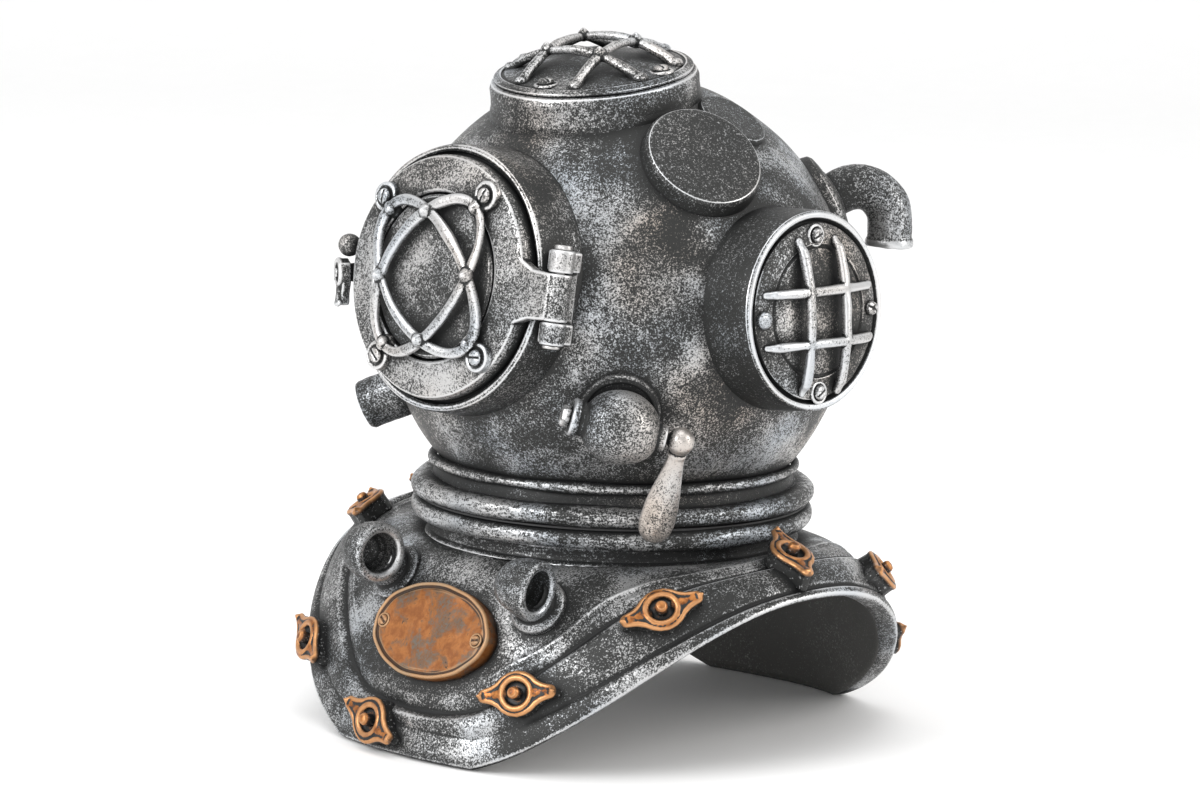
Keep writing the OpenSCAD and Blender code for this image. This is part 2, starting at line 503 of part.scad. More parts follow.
breastplate();
rim_bead();
brail_band();
neck_collar();
neck_ring_lower();
neck_gasket();
neck_ring_upper();
helmet_shell();
neck_lip();
front_frame();
hinge_bracket();
hinge_pin();
front_door();
front_window();
front_guard();
front_guard_screws();
latch_bracket();
latch_wing_nut();
top_frame();
top_plate();
top_guard();
top_screws();
port_frame();
port_plate();
port_guard();
port_screws();
starboard_frame();
starboard_plate();
starboard_guard();
starboard_screws();
side_boss();
small_boss();
air_elbow();
air_elbow_flange();
cable_elbow();
cable_elbow_flange();
bubble_stub();
spitcock_flange();
spitcock_body();
spitcock_cap();
spitcock_lever();
eye_port();
eye_starboard();
plaque();
plaque_screws();
studs();
wing_nuts();
air_hose();
air_stone_cradle();
air_stone();
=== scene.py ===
import math

import bmesh
import bpy
import numpy as np
from mathutils import Matrix, Vector


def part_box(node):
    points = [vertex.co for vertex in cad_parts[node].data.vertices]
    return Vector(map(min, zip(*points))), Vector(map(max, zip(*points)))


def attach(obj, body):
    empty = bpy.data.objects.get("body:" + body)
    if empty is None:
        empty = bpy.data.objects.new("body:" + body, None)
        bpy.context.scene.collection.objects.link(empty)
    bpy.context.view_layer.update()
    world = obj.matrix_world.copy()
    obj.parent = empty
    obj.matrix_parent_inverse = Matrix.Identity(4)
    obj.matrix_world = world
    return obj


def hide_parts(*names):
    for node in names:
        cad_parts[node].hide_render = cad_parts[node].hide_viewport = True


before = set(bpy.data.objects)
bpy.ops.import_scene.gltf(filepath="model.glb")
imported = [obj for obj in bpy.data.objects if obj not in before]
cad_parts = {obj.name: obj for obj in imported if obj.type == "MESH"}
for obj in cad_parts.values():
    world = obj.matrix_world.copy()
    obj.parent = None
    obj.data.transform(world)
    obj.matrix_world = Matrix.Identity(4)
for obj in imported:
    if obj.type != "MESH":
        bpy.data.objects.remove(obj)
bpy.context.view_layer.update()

# ------------------------------------------------------------------ places
# Everything below is worked out in millimetres and scaled by 0.001 when it
# becomes a mesh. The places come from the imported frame's own boxes.


def mm_box(node):
    lo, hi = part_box(node)
    return np.array(lo) * 1000, np.array(hi) * 1000


lip_lo, lip_hi = mm_box("neck_lip")
low_lo, low_hi = mm_box("neck_ring_lower")
up_lo, up_hi = mm_box("neck_ring_upper")
col_lo, col_hi = mm_box("neck_collar")
gas_lo, gas_hi = mm_box("neck_gasket")
R = 48.0
NX = (lip_lo[0] + lip_hi[0]) / 2
NB = (lip_lo[1] + lip_hi[1]) / 2
DC = np.array([NX, NB, lip_hi[2] + 30.9])
LIP_R = (lip_hi[0] - lip_lo[0]) / 2
RING_R = (low_hi[0] - low_lo[0]) / 2
RING2_R = (up_hi[0] - up_lo[0]) / 2
COLLAR_R = 37.5
COLLAR_H = 38.4


def T(x, y, z):
    m = np.eye(4)
    m[:3, 3] = (x, y, z)
    return m


def rot(axis, deg):
    return np.array(Matrix.Rotation(math.radians(deg), 4, axis))


def face(az, el, rise=0.0):
    return T(DC[0], DC[1], DC[2] + rise) @ rot("Z", az) @ rot("X", 90 - el)


FRONT = face(0, 8.5, 2.2)
GUARD = FRONT @ rot("Z", 6)
PORT = face(90, 4, 1.5)
TOP = T(0, -2, 0) @ face(9, 80.2) @ rot("Z", 1)
SPIT = face(45.4, -17.7) @ rot("Z", -12.8)
LATCH = T(-29.5, DC[1] - 48, DC[2] + 12.8) @ rot("Z", -31) @ rot("X", 90)
MIRROR = np.diag([-1.0, 1.0, 1.0, 1.0])


def put(v, m):
    return np.asarray(v, float) @ m[:3, :3].T + m[:3, 3]


# ------------------------------------------------------------ smooth noise
def waves(seed, n=14):
    g = np.random.default_rng(seed)
    d = g.normal(size=(n, 3))
    d /= np.linalg.norm(d, axis=1)[:, None]
    return d * g.uniform(0.6, 1.7, n)[:, None], g.uniform(0, 6.283, n)


def wob(p, size, seed):
    """Smooth noise of about unit strength that varies over `size` mm."""
    d, ph = waves(seed)
    return np.sin(np.asarray(p) @ d.T * (2.2 / size) + ph).sum(1) / math.sqrt(len(ph) / 2)


def sstep(a, b, x):
    t = np.clip((np.asarray(x, float) - a) / (b - a), 0, 1)
    return t * t * (3 - 2 * t)


def catmull(pts, per):
    p = np.asarray(pts, float)
    p = np.vstack([2 * p[0] - p[1], p, 2 * p[-1] - p[-2]])
    out = []
    for i in range(1, len(p) - 2):
        for k in range(per):
            t = k / per
            out.append(0.5 * (2 * p[i] + (p[i + 1] - p[i - 1]) * t + (2 * p[i - 1] - 5 * p[i] + 4 * p[i + 1] - p[i + 2]) * t * t
                              + (3 * p[i] - p[i - 1] - 3 * p[i + 1] + p[i + 2]) * t ** 3))
    out.append(p[-2])
    return np.array(out)


# --------------------------------------------------------- mesh primitives
# Each returns (vertices in mm, faces).


def grid_faces(m, k, close_m, close_k, flip=False):
    f = []
    for i in range(m if close_m else m - 1):
        for j in range(k if close_k else k - 1):
            a, b = i * k + j, i * k + (j + 1) % k
            c, d = ((i + 1) % m) * k + (j + 1) % k, ((i + 1) % m) * k + j
            f.append((a, d, c, b) if flip else (a, b, c, d))
    return f


def soften(pts, r, closed=False, n=4):
    """Rounds the corners of a 2-D line to about radius r."""
    p = [np.array(q, float) for q in pts]
    out = []
    m = len(p)
    for i in range(m):
        if not closed and i in (0, m - 1):
            out.append(p[i])
            continue
        a, b, c = p[i - 1], p[i], p[(i + 1) % m]
        u, v = a - b, c - b
        lu, lv = np.linalg.norm(u), np.linalg.norm(v)
        if lu < 1e-9 or lv < 1e-9:
            out.append(b)
            continue
        cosang = np.clip(u @ v / lu / lv, -1, 1)
        turn = math.pi - math.acos(cosang)
        if turn < 0.12:
            out.append(b)
            continue
        d = min(r * math.tan(turn / 2), 0.45 * lu, 0.45 * lv)
        s, e = b + u / lu * d, b + v / lv * d
        for k in range(n + 1):
            t = k / n
            out.append((1 - t) ** 2 * s + 2 * t * (1 - t) * b + t * t * e)
    return np.array(out)


def refine(pts, step, closed=False):
    p = np.asarray(pts, float)
    out = []
    m = len(p)
    for i in range(m if closed else m - 1):
        a, b = p[i], p[(i + 1) % m]
        n = max(1, int(math.ceil(np.linalg.norm(b - a) / step)))
        out.extend(a + (b - a) * k / n for k in range(n))
    if not closed:
        out.append(p[-1])
    return np.array(out)


def lathe(prof, segs=160, r=0.35, step=1.2, xf=None):
    """Turned solid. prof is a list of (radius, height); it closes on the axis or on itself."""
    p = np.array(prof, float)
    closed = p[0][0] > 1e-6 or p[-1][0] > 1e-6
    q = refine(soften(p, r, closed), step, closed)
    axis_ends = not closed
    if axis_ends:
        body = q[1:-1]
    else:
        body = q
    a = np.arange(segs) * 2 * math.pi / segs
    v = np.stack([np.outer(body[:, 0], np.cos(a)), np.outer(body[:, 0], np.sin(a)), np.repeat(body[:, 1:2], segs, 1)], -1).reshape(-1, 3)
    m = len(body)
    f = grid_faces(m, segs, closed, True)
    if axis_ends:
        lo, hi = len(v), len(v) + 1
        v = np.vstack([v, [0, 0, q[0][1]], [0, 0, q[-1][1]]])
        for j in range(segs):
            f.append((lo, (j + 1) % segs, j))
            f.append((hi, (m - 1) * segs + j, (m - 1) * segs + (j + 1) % segs))
    v = v if xf is None else put(v, xf)
    return outward_faces(v, f)


def outward_faces(v, f):
    """Turns the faces so that the closed solid's volume is positive."""
    vol = 0.0
    by_len = {}
    for q in f:
        by_len.setdefault(len(q), []).append(q)
    for n, qs in by_len.items():
        qa = np.array(qs)
        a = v[qa[:, 0]]
        for k in range(1, n - 1):
            vol += float((a * np.cross(v[qa[:, k]], v[qa[:, k + 1]])).sum())
    return (v, [tuple(reversed(q)) for q in f]) if vol < 0 else (v, f)


def rings_solid(rings):
    """Closed solid through a list of rings of equal point counts, capped at both ends."""
    r = np.array(rings)
    m, k, _ = r.shape
    v = r.reshape(-1, 3)
    f = grid_faces(m, k, False, True)
    c0, c1 = len(v), len(v) + 1
    v = np.vstack([v, r[0].mean(0), r[-1].mean(0)])
    for j in range(k):
        f.append((c0, (j + 1) % k, j))
        f.append((c1, (m - 1) * k + j, (m - 1) * k + (j + 1) % k))
    return outward_faces(v, f)


def ring_at(c, e1, e2, r1, r2=None, k=32, power=1.0):
    a = np.arange(k) * 2 * math.pi / k
    r2 = r1 if r2 is None else r2
    ca, sa = np.cos(a), np.sin(a)
    if power != 1.0:
        ca = np.sign(ca) * np.abs(ca) ** power
        sa = np.sign(sa) * np.abs(sa) ** power
    return np.asarray(c) + np.outer(ca * r1, e1) + np.outer(sa * r2, e2)


def unit(v):
    v = np.asarray(v, float)
    return v / np.linalg.norm(v)


def tube(path, radius, ref=(0, 0, 1), k=20, flat=1.0, closed=False, power=1.0):
    """Tube along a path; `ref` is the direction its second axis leans to; flat scales that axis."""
    p = np.asarray(path, float)
    n = len(p)
    rr = np.full(n, radius, float) if np.isscalar(radius) else np.asarray(radius, float)
    rings = []
    for i in range(n):
        d = unit(p[(i + 1) % n] - p[i - 1]) if closed else unit(p[min(n - 1, i + 1)] - p[max(0, i - 1)])
        rf = np.asarray(ref(p[i]) if callable(ref) else ref, float)
        e1 = unit(np.cross(d, rf))
        e2 = np.cross(e1, d)
        rings.append(ring_at(p[i], e1, e2, rr[i], rr[i] * flat, k, power))
    if closed:
        r = np.array(rings)
        return outward_faces(r.reshape(-1, 3), grid_faces(n, k, True, True))
    # rounded ends
    out = []
    for end, i in ((0, 0), (1, n - 1)):
        d = unit(p[1] - p[0]) if end == 0 else unit(p[-1] - p[-2])
        s = -1 if end == 0 else 1
        caps = []
        for q in (0.35, 0.7, 0.92):
            c = rings[i].mean(0)
            caps.append((rings[i] - c) * math.sqrt(1 - q * q) + c + d * s * q * rr[i] * 0.8)
        out.append(caps)
    return rings_solid(out[0][::-1] + rings + out[1])


def ball(c, r, scale=(1, 1, 1), nu=28, nv=18):
    v = []
    for i in range(1, nv):
        th = math.pi * i / nv
        for j in range(nu):
            ph = 2 * math.pi * j / nu
            v.append((r * math.sin(th) * math.cos(ph), r * math.sin(th) * math.sin(ph), r * math.cos(th)))
    v = np.array(v + [(0, 0, r), (0, 0, -r)]) * np.array(scale) + np.asarray(c, float)
    f = grid_faces(nv - 1, nu, False, True)
    top, bot = len(v) - 2, len(v) - 1
    for j in range(nu):
        f.append((top, (j + 1) % nu, j))
        f.append((bot, (nv - 2) * nu + j, (nv - 2) * nu + (j + 1) % nu))
    return outward_faces(v, f)


def rod(a, b, r, k=40, bevel=0.25):
    a, b = np.asarray(a, float), np.asarray(b, float)
    d = unit(b - a)
    h = np.linalg.norm(b - a)
    e1 = unit(np.cross(d, (0.3, 0.9, 0.2)))
    e2 = np.cross(d, e1)
    m = np.eye(4)
    m[:3, 0], m[:3, 1], m[:3, 2], m[:3, 3] = e1, e2, d, a
    return lathe([(0, 0), (r, 0), (r, h), (0, h)], k, bevel, 1.0, m)


def prism(outline, z0, z1, top=1.0, bevel=0.3, rc=0.0):
    """Extruded outline with a bevelled upper edge."""
    o = np.asarray(outline, float)
    if rc:
        o = soften(o, rc, True)
    o = refine(o, 0.8, True)
    c = o.mean(0)

    def inset(d):
        p = np.roll(o, 1, 0)
        q = np.roll(o, -1, 0)
        t = q - p
        t /= np.linalg.norm(t, axis=1)[:, None] + 1e-9
        n = np.stack([t[:, 1], -t[:, 0]], 1)
        area = (o[:, 0] * q[:, 1] - q[:, 0] * o[:, 1]).sum()
        return o - n * d * (1 if area > 0 else -1)

    rings = [np.c_[inset(bevel), np.full(len(o), z0)], np.c_[o, np.full(len(o), z0 + bevel)]]
    top_o = (o - c) * top + c
    rings.append(np.c_[top_o, np.full(len(o), z1 - bevel)])
    rings.append(np.c_[(inset(bevel * 0.4) - c) * top + c, np.full(len(o), z1 - bevel * 0.3)])
    rings.append(np.c_[(inset(bevel) - c) * top + c, np.full(len(o), z1)])
    return rings_solid(rings)


def box(a, b, r=0.3):
    o = [(a[0], a[1]), (b[0], a[1]), (b[0], b[1]), (a[0], b[1])]
    return prism(o, a[2], b[2], 1.0, r, r)


def joined(*parts):
    vs, fs, n = [], [], 0
    for v, f in parts:
        vs.append(np.asarray(v, float))
        fs.extend(tuple(i + n for i in q) for q in f)
        n += len(v)
    return np.vstack(vs), fs


def moved(part, m):
    v, f = part
    v = put(v, m)
    return (v, [tuple(reversed(q)) for q in f]) if np.linalg.det(m[:3, :3]) < 0 else (v, f)


def evaluated(obj):
    dg = bpy.context.evaluated_depsgraph_get()
    me = bpy.data.meshes.new_from_object(obj.evaluated_get(dg), depsgraph=dg)
    v = np.zeros(len(me.vertices) * 3)
    me.vertices.foreach_get("co", v)
    f = [tuple(p.vertices) for p in me.polygons]
    bpy.data.meshes.remove(me)
    return v.reshape(-1, 3), f


def scratch(part, name="scratch"):
    me = bpy.data.meshes.new(name)
    me.from_pydata(np.asarray(part[0]).tolist(), [], part[1])
    o = bpy.data.objects.new(name, me)
    bpy.context.scene.collection.objects.link(o)
    return o


def drop(o):
    me = o.data
    bpy.data.objects.remove(o)
    bpy.data.meshes.remove(me)


def fuse(parts, voxel=0.24, smooth=5, factor=0.5):
    """Melts overlapping solids into one skin with small fillets, as a casting has."""
    o = scratch(joined(*parts))
    m = o.modifiers.new("r", "REMESH")
    m.mode = "VOXEL"
    m.voxel_size = voxel
    m.adaptivity = 0.0
    s = o.modifiers.new("s", "SMOOTH")
    s.factor = factor
    s.iterations = smooth
    bpy.context.view_layer.update()
    out = evaluated(o)
    drop(o)
    return out


def cut(part, cutters):
    o = scratch(part)
    extra = []
    for i, c in enumerate(cutters):
        k = scratch(c, "cutter")
        extra.append(k)
        m = o.modifiers.new(f"b{i}", "BOOLEAN")
        m.operation = "DIFFERENCE"
        m.solver = "MANIFOLD"
        m.object = k
    bpy.context.view_layer.update()
    out = evaluated(o)
    drop(o)
    for k in extra:
        drop(k)
    return out


def seat(v, xf, pick, depth=0.35):
    """Pulls the picked local points along local Z onto a sphere just under the dome's skin."""
    c = put([DC], np.linalg.inv(xf))[0]
    d2 = (R - depth) ** 2 - (v[pick, 0] - c[0]) ** 2 - (v[pick, 1] - c[1]) ** 2
    v[pick, 2] = c[2] + np.sqrt(np.maximum(d2, 0))
    return v


# ------------------------------------------------------------- finishing
def wear_of(me):
    """Curvature of every vertex in 1/mm, blurred a little: how sharp the outward edges are."""
    n = len(me.vertices)
    co = np.zeros(n * 3)
    me.vertices.foreach_get("co", co)
    co = co.reshape(-1, 3) * 1000
    no = np.zeros(n * 3)
    me.vertices.foreach_get("normal", no)
    no = no.reshape(-1, 3)
    e = np.zeros(len(me.edges) * 2, np.int64)
    me.edges.foreach_get("vertices", e)
    e = e.reshape(-1, 2)
    a, b = e[:, 0], e[:, 1]
    d = co[a] - co[b]
    l2 = np.maximum((d * d).sum(1), 0.01)
    ka = 2 * (no[a] * d).sum(1) / l2
    kb = -2 * (no[b] * d).sum(1) / l2
    top = np.full(n, -9.0)
    low = np.full(n, 9.0)
    np.maximum.at(top, a, ka)
    np.maximum.at(top, b, kb)
    np.minimum.at(low, a, ka)
    np.minimum.at(low, b, kb)
    top = np.clip(top, 0, 3)
    low = np.clip(-low, 0, 3)
    deg = np.zeros(n)
    np.add.at(deg, a, 1)
    np.add.at(deg, b, 1)
    deg = np.maximum(deg, 1)
    ln = np.sqrt(l2)
    mean_len = np.zeros(n)
    np.add.at(mean_len, a, ln)
    np.add.at(mean_len, b, ln)
    step = float(np.median(mean_len / deg))
    for _ in range(int(np.clip(round((0.45 / max(step, 0.05)) ** 2), 1, 10))):
        for arr in (top, low):
            s = np.zeros(n)
            np.add.at(s, a, arr[b])
            np.add.at(s, b, arr[a])
            arr[:] = 0.5 * arr + 0.5 * s / deg
    return top, low


SEEN = []


def piece(name, part, mat, body="helmet", nodes=(), sharp=None, rough=0.0, seed=1, cast=0.0, cast_size=6.0):
    v, f = part
    v = np.array(v, float)
    me = bpy.data.meshes.new(name)
    if cast or rough:
        tmp = bpy.data.meshes.new("tmp")
        tmp.from_pydata(v.tolist(), [], f)
        no = np.zeros(len(v) * 3)
        tmp.vertices.foreach_get("normal", no)
        no = no.reshape(-1, 3)
        bpy.data.meshes.remove(tmp)
        if cast:
            v = v + no * (cast * wob(v, cast_size, seed) * 0.6)[:, None]
        if rough:
            v = v + no * (rough * wob(v, 1.3, seed + 7) * 0.5)[:, None]
    v[:, 2] = np.maximum(v[:, 2], 0.0)
    me.from_pydata((v * 0.001).tolist(), [], f)
    me.validate()
    bm = bmesh.new()
    bm.from_mesh(me)
    bmesh.ops.recalc_face_normals(bm, faces=bm.faces)
    bm.to_mesh(me)
    bm.free()
    me.shade_smooth()
    top, low = wear_of(me)
    for key, arr in (("edge", top), ("dip", low)):
        at = me.attributes.new(key, "FLOAT", "POINT")
        at.data.foreach_set("value", np.ascontiguousarray(arr, np.float32))
    o = bpy.data.objects.new(name, me)
    bpy.context.scene.collection.objects.link(o)
    me.materials.append(mat)
    if nodes:
        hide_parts(*nodes)
    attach(o, body)
    SEEN.append(name)
    return o


# -------------------------------------------------------------- materials
class Mat:
    def __init__(self, name):
        self.m = bpy.data.materials.new(name)
        self.m.use_nodes = True
        self.t = self.m.node_tree
        self.t.nodes.clear()
        self.out = self.t.nodes.new("ShaderNodeOutputMaterial")
        tc = self.t.nodes.new("ShaderNodeTexCoord")
        self.pos = tc.outputs["Object"]

    def link(self, a, b):
        if isinstance(a, (int, float)):
            b.default_value = a
        elif isinstance(a, (tuple, list)):
            b.default_value = tuple(a) if len(a) == len(b.default_value) else tuple(a) + (1.0,)
        else:
            self.t.links.new(a, b)

    def math(self, op, a, b=None, c=None, clamp=False):
        n = self.t.nodes.new("ShaderNodeMath")
        n.operation = op
        n.use_clamp = clamp
        for i, x in enumerate((a, b, c)):
            if x is not None:
                self.link(x, n.inputs[i])
        return n.outputs[0]

    def noise(self, scale, detail=2.0, rough=0.5, dist=0.0, vec=None, seed=0.0):
        n = self.t.nodes.new("ShaderNodeTexNoise")
        n.noise_dimensions = "4D"
        self.link(self.pos if vec is None else vec, n.inputs["Vector"])
        n.inputs["W"].default_value = seed
        n.inputs["Scale"].default_value = scale
        n.inputs["Detail"].default_value = detail
        n.inputs["Roughness"].default_value = rough
        n.inputs["Distortion"].default_value = dist
        return n.outputs["Fac"]

    def voronoi(self, scale, feature="F1", rand=1.0):
        n = self.t.nodes.new("ShaderNodeTexVoronoi")
        n.feature = feature
        self.link(self.pos, n.inputs["Vector"])
        n.inputs["Scale"].default_value = scale
        n.inputs["Randomness"].default_value = rand
        return n.outputs["Distance"]

    def span(self, x, lo, hi, a=0.0, b=1.0, smooth=True):
        n = self.t.nodes.new("ShaderNodeMapRange")
        n.interpolation_type = "SMOOTHSTEP" if smooth else "LINEAR"
        self.link(x, n.inputs["Value"])
        for key, val in (("From Min", lo), ("From Max", hi), ("To Min", a), ("To Max", b)):
            self.link(val, n.inputs[key])
        return n.outputs["Result"]

    def mix(self, a, b, f):
        n = self.t.nodes.new("ShaderNodeMix")
        n.data_type = "RGBA"
        self.link(f, n.inputs[0])
        self.link(a, n.inputs[6])
        self.link(b, n.inputs[7])
        return n.outputs[2]

    def fmix(self, a, b, f):
        n = self.t.nodes.new("ShaderNodeMix")
        n.data_type = "FLOAT"
        self.link(f, n.inputs[0])
        self.link(a, n.inputs[2])
        self.link(b, n.inputs[3])
        return n.outputs[0]

    def attr(self, name):
        n = self.t.nodes.new("ShaderNodeAttribute")
        n.attribute_name = name
        return n.outputs["Fac"]

    def hollow(self, dist, samples=6, inside=False):
        n = self.t.nodes.new("ShaderNodeAmbientOcclusion")
        n.samples = samples
        n.inside = inside
        n.inputs["Distance"].default_value = dist
        return n.outputs["AO"]

    def squeeze(self, sx, sy, sz):
        n = self.t.nodes.new("ShaderNodeMapping")
        self.link(self.pos, n.inputs["Vector"])
        n.inputs["Scale"].default_value = (sx, sy, sz)
        return n.outputs["Vector"]

    def bump(self, height, distance, strength=1.0, normal=None):
        n = self.t.nodes.new("ShaderNodeBump")
        self.link(height, n.inputs["Height"])
        n.inputs["Distance"].default_value = distance
        n.inputs["Strength"].default_value = strength
        if normal is not None:
            self.link(normal, n.inputs["Normal"])
        return n.outputs["Normal"]

    def finish(self, color, rough, metal=0.0, normal=None, **more):
        p = self.t.nodes.new("ShaderNodeBsdfPrincipled")
        self.link(color, p.inputs["Base Color"])
        self.link(rough, p.inputs["Roughness"])
        self.link(metal, p.inputs["Metallic"])
        if normal is not None:
            self.link(normal, p.inputs["Normal"])
        for key, val in more.items():
            self.link(val, p.inputs[key.replace("_", " ")])
        self.t.links.new(p.outputs[0], self.out.inputs[0])
        return self.m


SILVER = (0.50, 0.505, 0.51)
TAN = (0.55, 0.465, 0.395)
BLUE = (0.35, 0.41, 0.48)
INK = (0.009, 0.0095, 0.01)
DARK = (0.019, 0.0195, 0.019)


def gunmetal(name, cover=0.5, contrast=1.0, edge=1.0, hollow=1.0, seed=0.0, tone=1.0, grain=1.0, warm=0.3, gloss=0.38, patch=1.0, streak=None):
    """Black-washed cast resin with silver dry-brushed over it: fine light grains that crowd on raised edges and thin out in hollows."""
    m = Mat(name)
    fine = m.noise(2900 / grain, 2.0, 0.72, 0.0, seed=seed)
    mid = m.noise(1250 / grain, 2.0, 0.6, 0.3, seed=seed + 3)
    cloud = m.noise(75, 3.0, 0.55, 0.4, seed=seed + 5)
    tint = m.noise(38, 2.0, 0.5, 0.0, seed=seed + 9)
    edge_at = m.span(m.attr("edge"), 0.35, 1.9, 0, 1)
    dip_at = m.span(m.attr("dip"), 0.25, 1.6, 0, 1)
    ao = m.hollow(0.0035, 6)
    deep = m.span(ao, 0.25, 0.95, 1, 0, False)
    g = m.math("ADD", m.math("MULTIPLY", fine, 0.72), m.math("MULTIPLY", mid, 0.28))
    g = m.math("ADD", g, m.math("MULTIPLY", m.math("SUBTRACT", cloud, 0.5), 0.42 * patch))
    if streak is not None:
        st = m.noise(600, 3.0, 0.6, 0.0, vec=m.squeeze(*streak), seed=seed + 11)
        g = m.math("ADD", g, m.math("MULTIPLY", m.math("SUBTRACT", st, 0.5), 0.5))
    g = m.math("ADD", g, m.math("MULTIPLY", edge_at, 0.26 * edge))
    g = m.math("SUBTRACT", g, m.math("MULTIPLY", deep, 0.30 * hollow))
    g = m.math("SUBTRACT", g, m.math("MULTIPLY", dip_at, 0.28 * hollow))
    centre = 0.548 + 0.17 * (0.5 - cover)
    width = 0.085 / contrast
    cov = m.span(g, centre - width, centre + width)
    light = m.mix(SILVER, TAN, m.span(tint, 0.42, 0.72, 0, warm * 1.6))
    light = m.mix(light, BLUE, m.span(tint, 0.5, 0.3, 0, 0.5))
    light = m.mix(light, (0.78, 0.79, 0.80), m.math("MULTIPLY", edge_at, 0.5))
    if tone != 1.0:
        light = m.mix((0.0, 0.0, 0.0), light, tone)
    base = m.mix(DARK, INK, m.math("MAXIMUM", deep, dip_at))
    color = m.mix(base, light, cov)
    rough = m.fmix(gloss + 0.10, gloss - 0.04, cov)
    rough = m.math("ADD", rough, m.math("MULTIPLY", deep, 0.18))
    metal = m.fmix(0.05, 0.85, cov)
    height = m.math("ADD", m.math("MULTIPLY", fine, 0.6), m.math("MULTIPLY", mid, 0.9))
    normal = m.bump(height, 0.00012, 0.55)
    soft = m.bump(m.noise(260, 3.0, 0.5, 0.2, seed=seed + 21), 0.0004, 0.25, normal)
    return m.finish(color, rough, metal, soft, Specular_IOR_Level=m.fmix(0.28, 0.5, cov))


def copper(name, seed=0.0):
    m = Mat(name)
    fine = m.noise(1900, 2.0, 0.7, seed=seed)
    mid = m.noise(520, 3.0, 0.6, 0.4, seed=seed + 2)
    edge_at = m.span(m.attr("edge"), 0.3, 1.6)
    dip_at = m.span(m.attr("dip"), 0.2, 1.4)
    deep = m.span(m.hollow(0.0022, 6), 0.3, 0.92, 1, 0, False)
    g = m.math("ADD", m.math("MULTIPLY", fine, 0.45), m.math("MULTIPLY", mid, 0.55))
    g = m.math("ADD", g, m.math("MULTIPLY", edge_at, 0.25))
    dirt = m.math("MAXIMUM", deep, dip_at)
    g = m.math("SUBTRACT", g, m.math("MULTIPLY", dirt, 0.42))
    # the paint is brushed on the top only: sides facing down or outward stay black
    geo = m.t.nodes.new("ShaderNodeNewGeometry")
    sep = m.t.nodes.new("ShaderNodeSeparateXYZ")
    m.link(geo.outputs["Normal"], sep.inputs[0])
    side = m.span(m.attr("paint"), 0.35, 0.8, 0.0, 1.0)
    cov = m.math("MULTIPLY", m.span(g, 0.36, 0.5), side)
    body = m.mix((0.20, 0.06, 0.012), (0.42, 0.165, 0.045), m.span(mid, 0.35, 0.68))
    body = m.mix(body, (0.66, 0.36, 0.17), m.math("MULTIPLY", edge_at, 0.6))
    color = m.mix(m.mix(DARK, INK, dirt), body, cov)
    speck = m.math("MULTIPLY", m.span(fine, 0.60, 0.66), m.math("SUBTRACT", 1.0, side, clamp=True))
    color = m.mix(color, SILVER, m.math("MULTIPLY", speck, 0.7))
    height = m.math("ADD", m.math("MULTIPLY", fine, 0.5), mid)
    return m.finish(color, m.fmix(0.46, 0.36, cov), m.fmix(0.3, 0.72, cov), m.bump(height, 0.00014, 0.6))


def patina(name):
    """Mottled copper paint with brown and grey bloom."""
    m = Mat(name)
    a = m.noise(170, 4.0, 0.62, 0.6, seed=2.0)
    b = m.noise(420, 4.0, 0.65, 0.3, seed=4.0)
    c = m.noise(1500, 3.0, 0.7, 0.0, seed=6.0)
    edge_at = m.span(m.attr("edge"), 0.3, 1.4)
    dip_at = m.span(m.attr("dip"), 0.15, 1.0)
    deep = m.span(m.hollow(0.0015, 6), 0.35, 0.92, 1, 0, False)
    body = m.mix((0.20, 0.062, 0.010), (0.34, 0.125, 0.028), m.span(b, 0.35, 0.66))
    body = m.mix(body, (0.13, 0.066, 0.032), m.span(m.math("ADD", m.math("MULTIPLY", a, 0.62), m.math("MULTIPLY", b, 0.38)), 0.48, 0.58, 0, 0.9))
    body = m.mix(body, (0.12, 0.10, 0.08), m.math("MULTIPLY", m.span(a, 0.46, 0.62), m.span(c, 0.42, 0.58)))
    body = m.mix(body, (0.05, 0.03, 0.018), m.math("MULTIPLY", m.span(b, 0.56, 0.66), m.span(c, 0.5, 0.62)))
    body = m.mix(body, (0.52, 0.34, 0.19), m.math("MULTIPLY", edge_at, 0.6))
    color = m.mix(body, (0.03, 0.018, 0.012), m.math("MAXIMUM", m.math("MULTIPLY", deep, 0.9), m.math("MULTIPLY", dip_at, 0.9)))
    height = m.math("ADD", m.math("MULTIPLY", c, 0.5), b)
    return m.finish(color, m.span(b, 0.3, 0.7, 0.55, 0.42), 0.35, m.bump(height, 0.00018, 0.6))


def blackwash(name, grain=1.0, lift=0.0):
    """Plain black-painted casting with a few light grains: the inside and the deep parts."""
    m = Mat(name)
    fine = m.noise(2100 / grain, 2.0, 0.75, seed=1.5)
    cloud = m.noise(60, 3.0, 0.5, seed=3.5)
    g = m.math("ADD", fine, m.math("MULTIPLY", m.math("SUBTRACT", cloud, 0.5), 0.3))
    cov = m.span(g, 0.56 - lift, 0.72 - lift)
    edge_at = m.span(m.attr("edge"), 0.4, 1.6)
    cov = m.math("MAXIMUM", cov, m.math("MULTIPLY", edge_at, m.span(fine, 0.4, 0.55)))
    color = m.mix((0.075, 0.074, 0.070), (0.30, 0.30, 0.29), m.math("MULTIPLY", cov, 0.8))
    return m.finish(color, m.fmix(0.5, 0.4, cov), m.fmix(0.1, 0.6, cov), m.bump(fine, 0.00010, 0.5))


def steel(name):
    m = Mat(name)
    v = m.noise(900, 3.0, 0.6, vec=m.squeeze(1, 1, 0.15), seed=1.0)
    f = m.noise(3000, 2.0, 0.6, seed=2.0)
    color = m.mix((0.36, 0.355, 0.35), (0.62, 0.61, 0.60), v)
    return m.finish(color, m.span(f, 0.3, 0.7, 0.26, 0.42), 1.0, m.bump(v, 0.00005, 0.4))


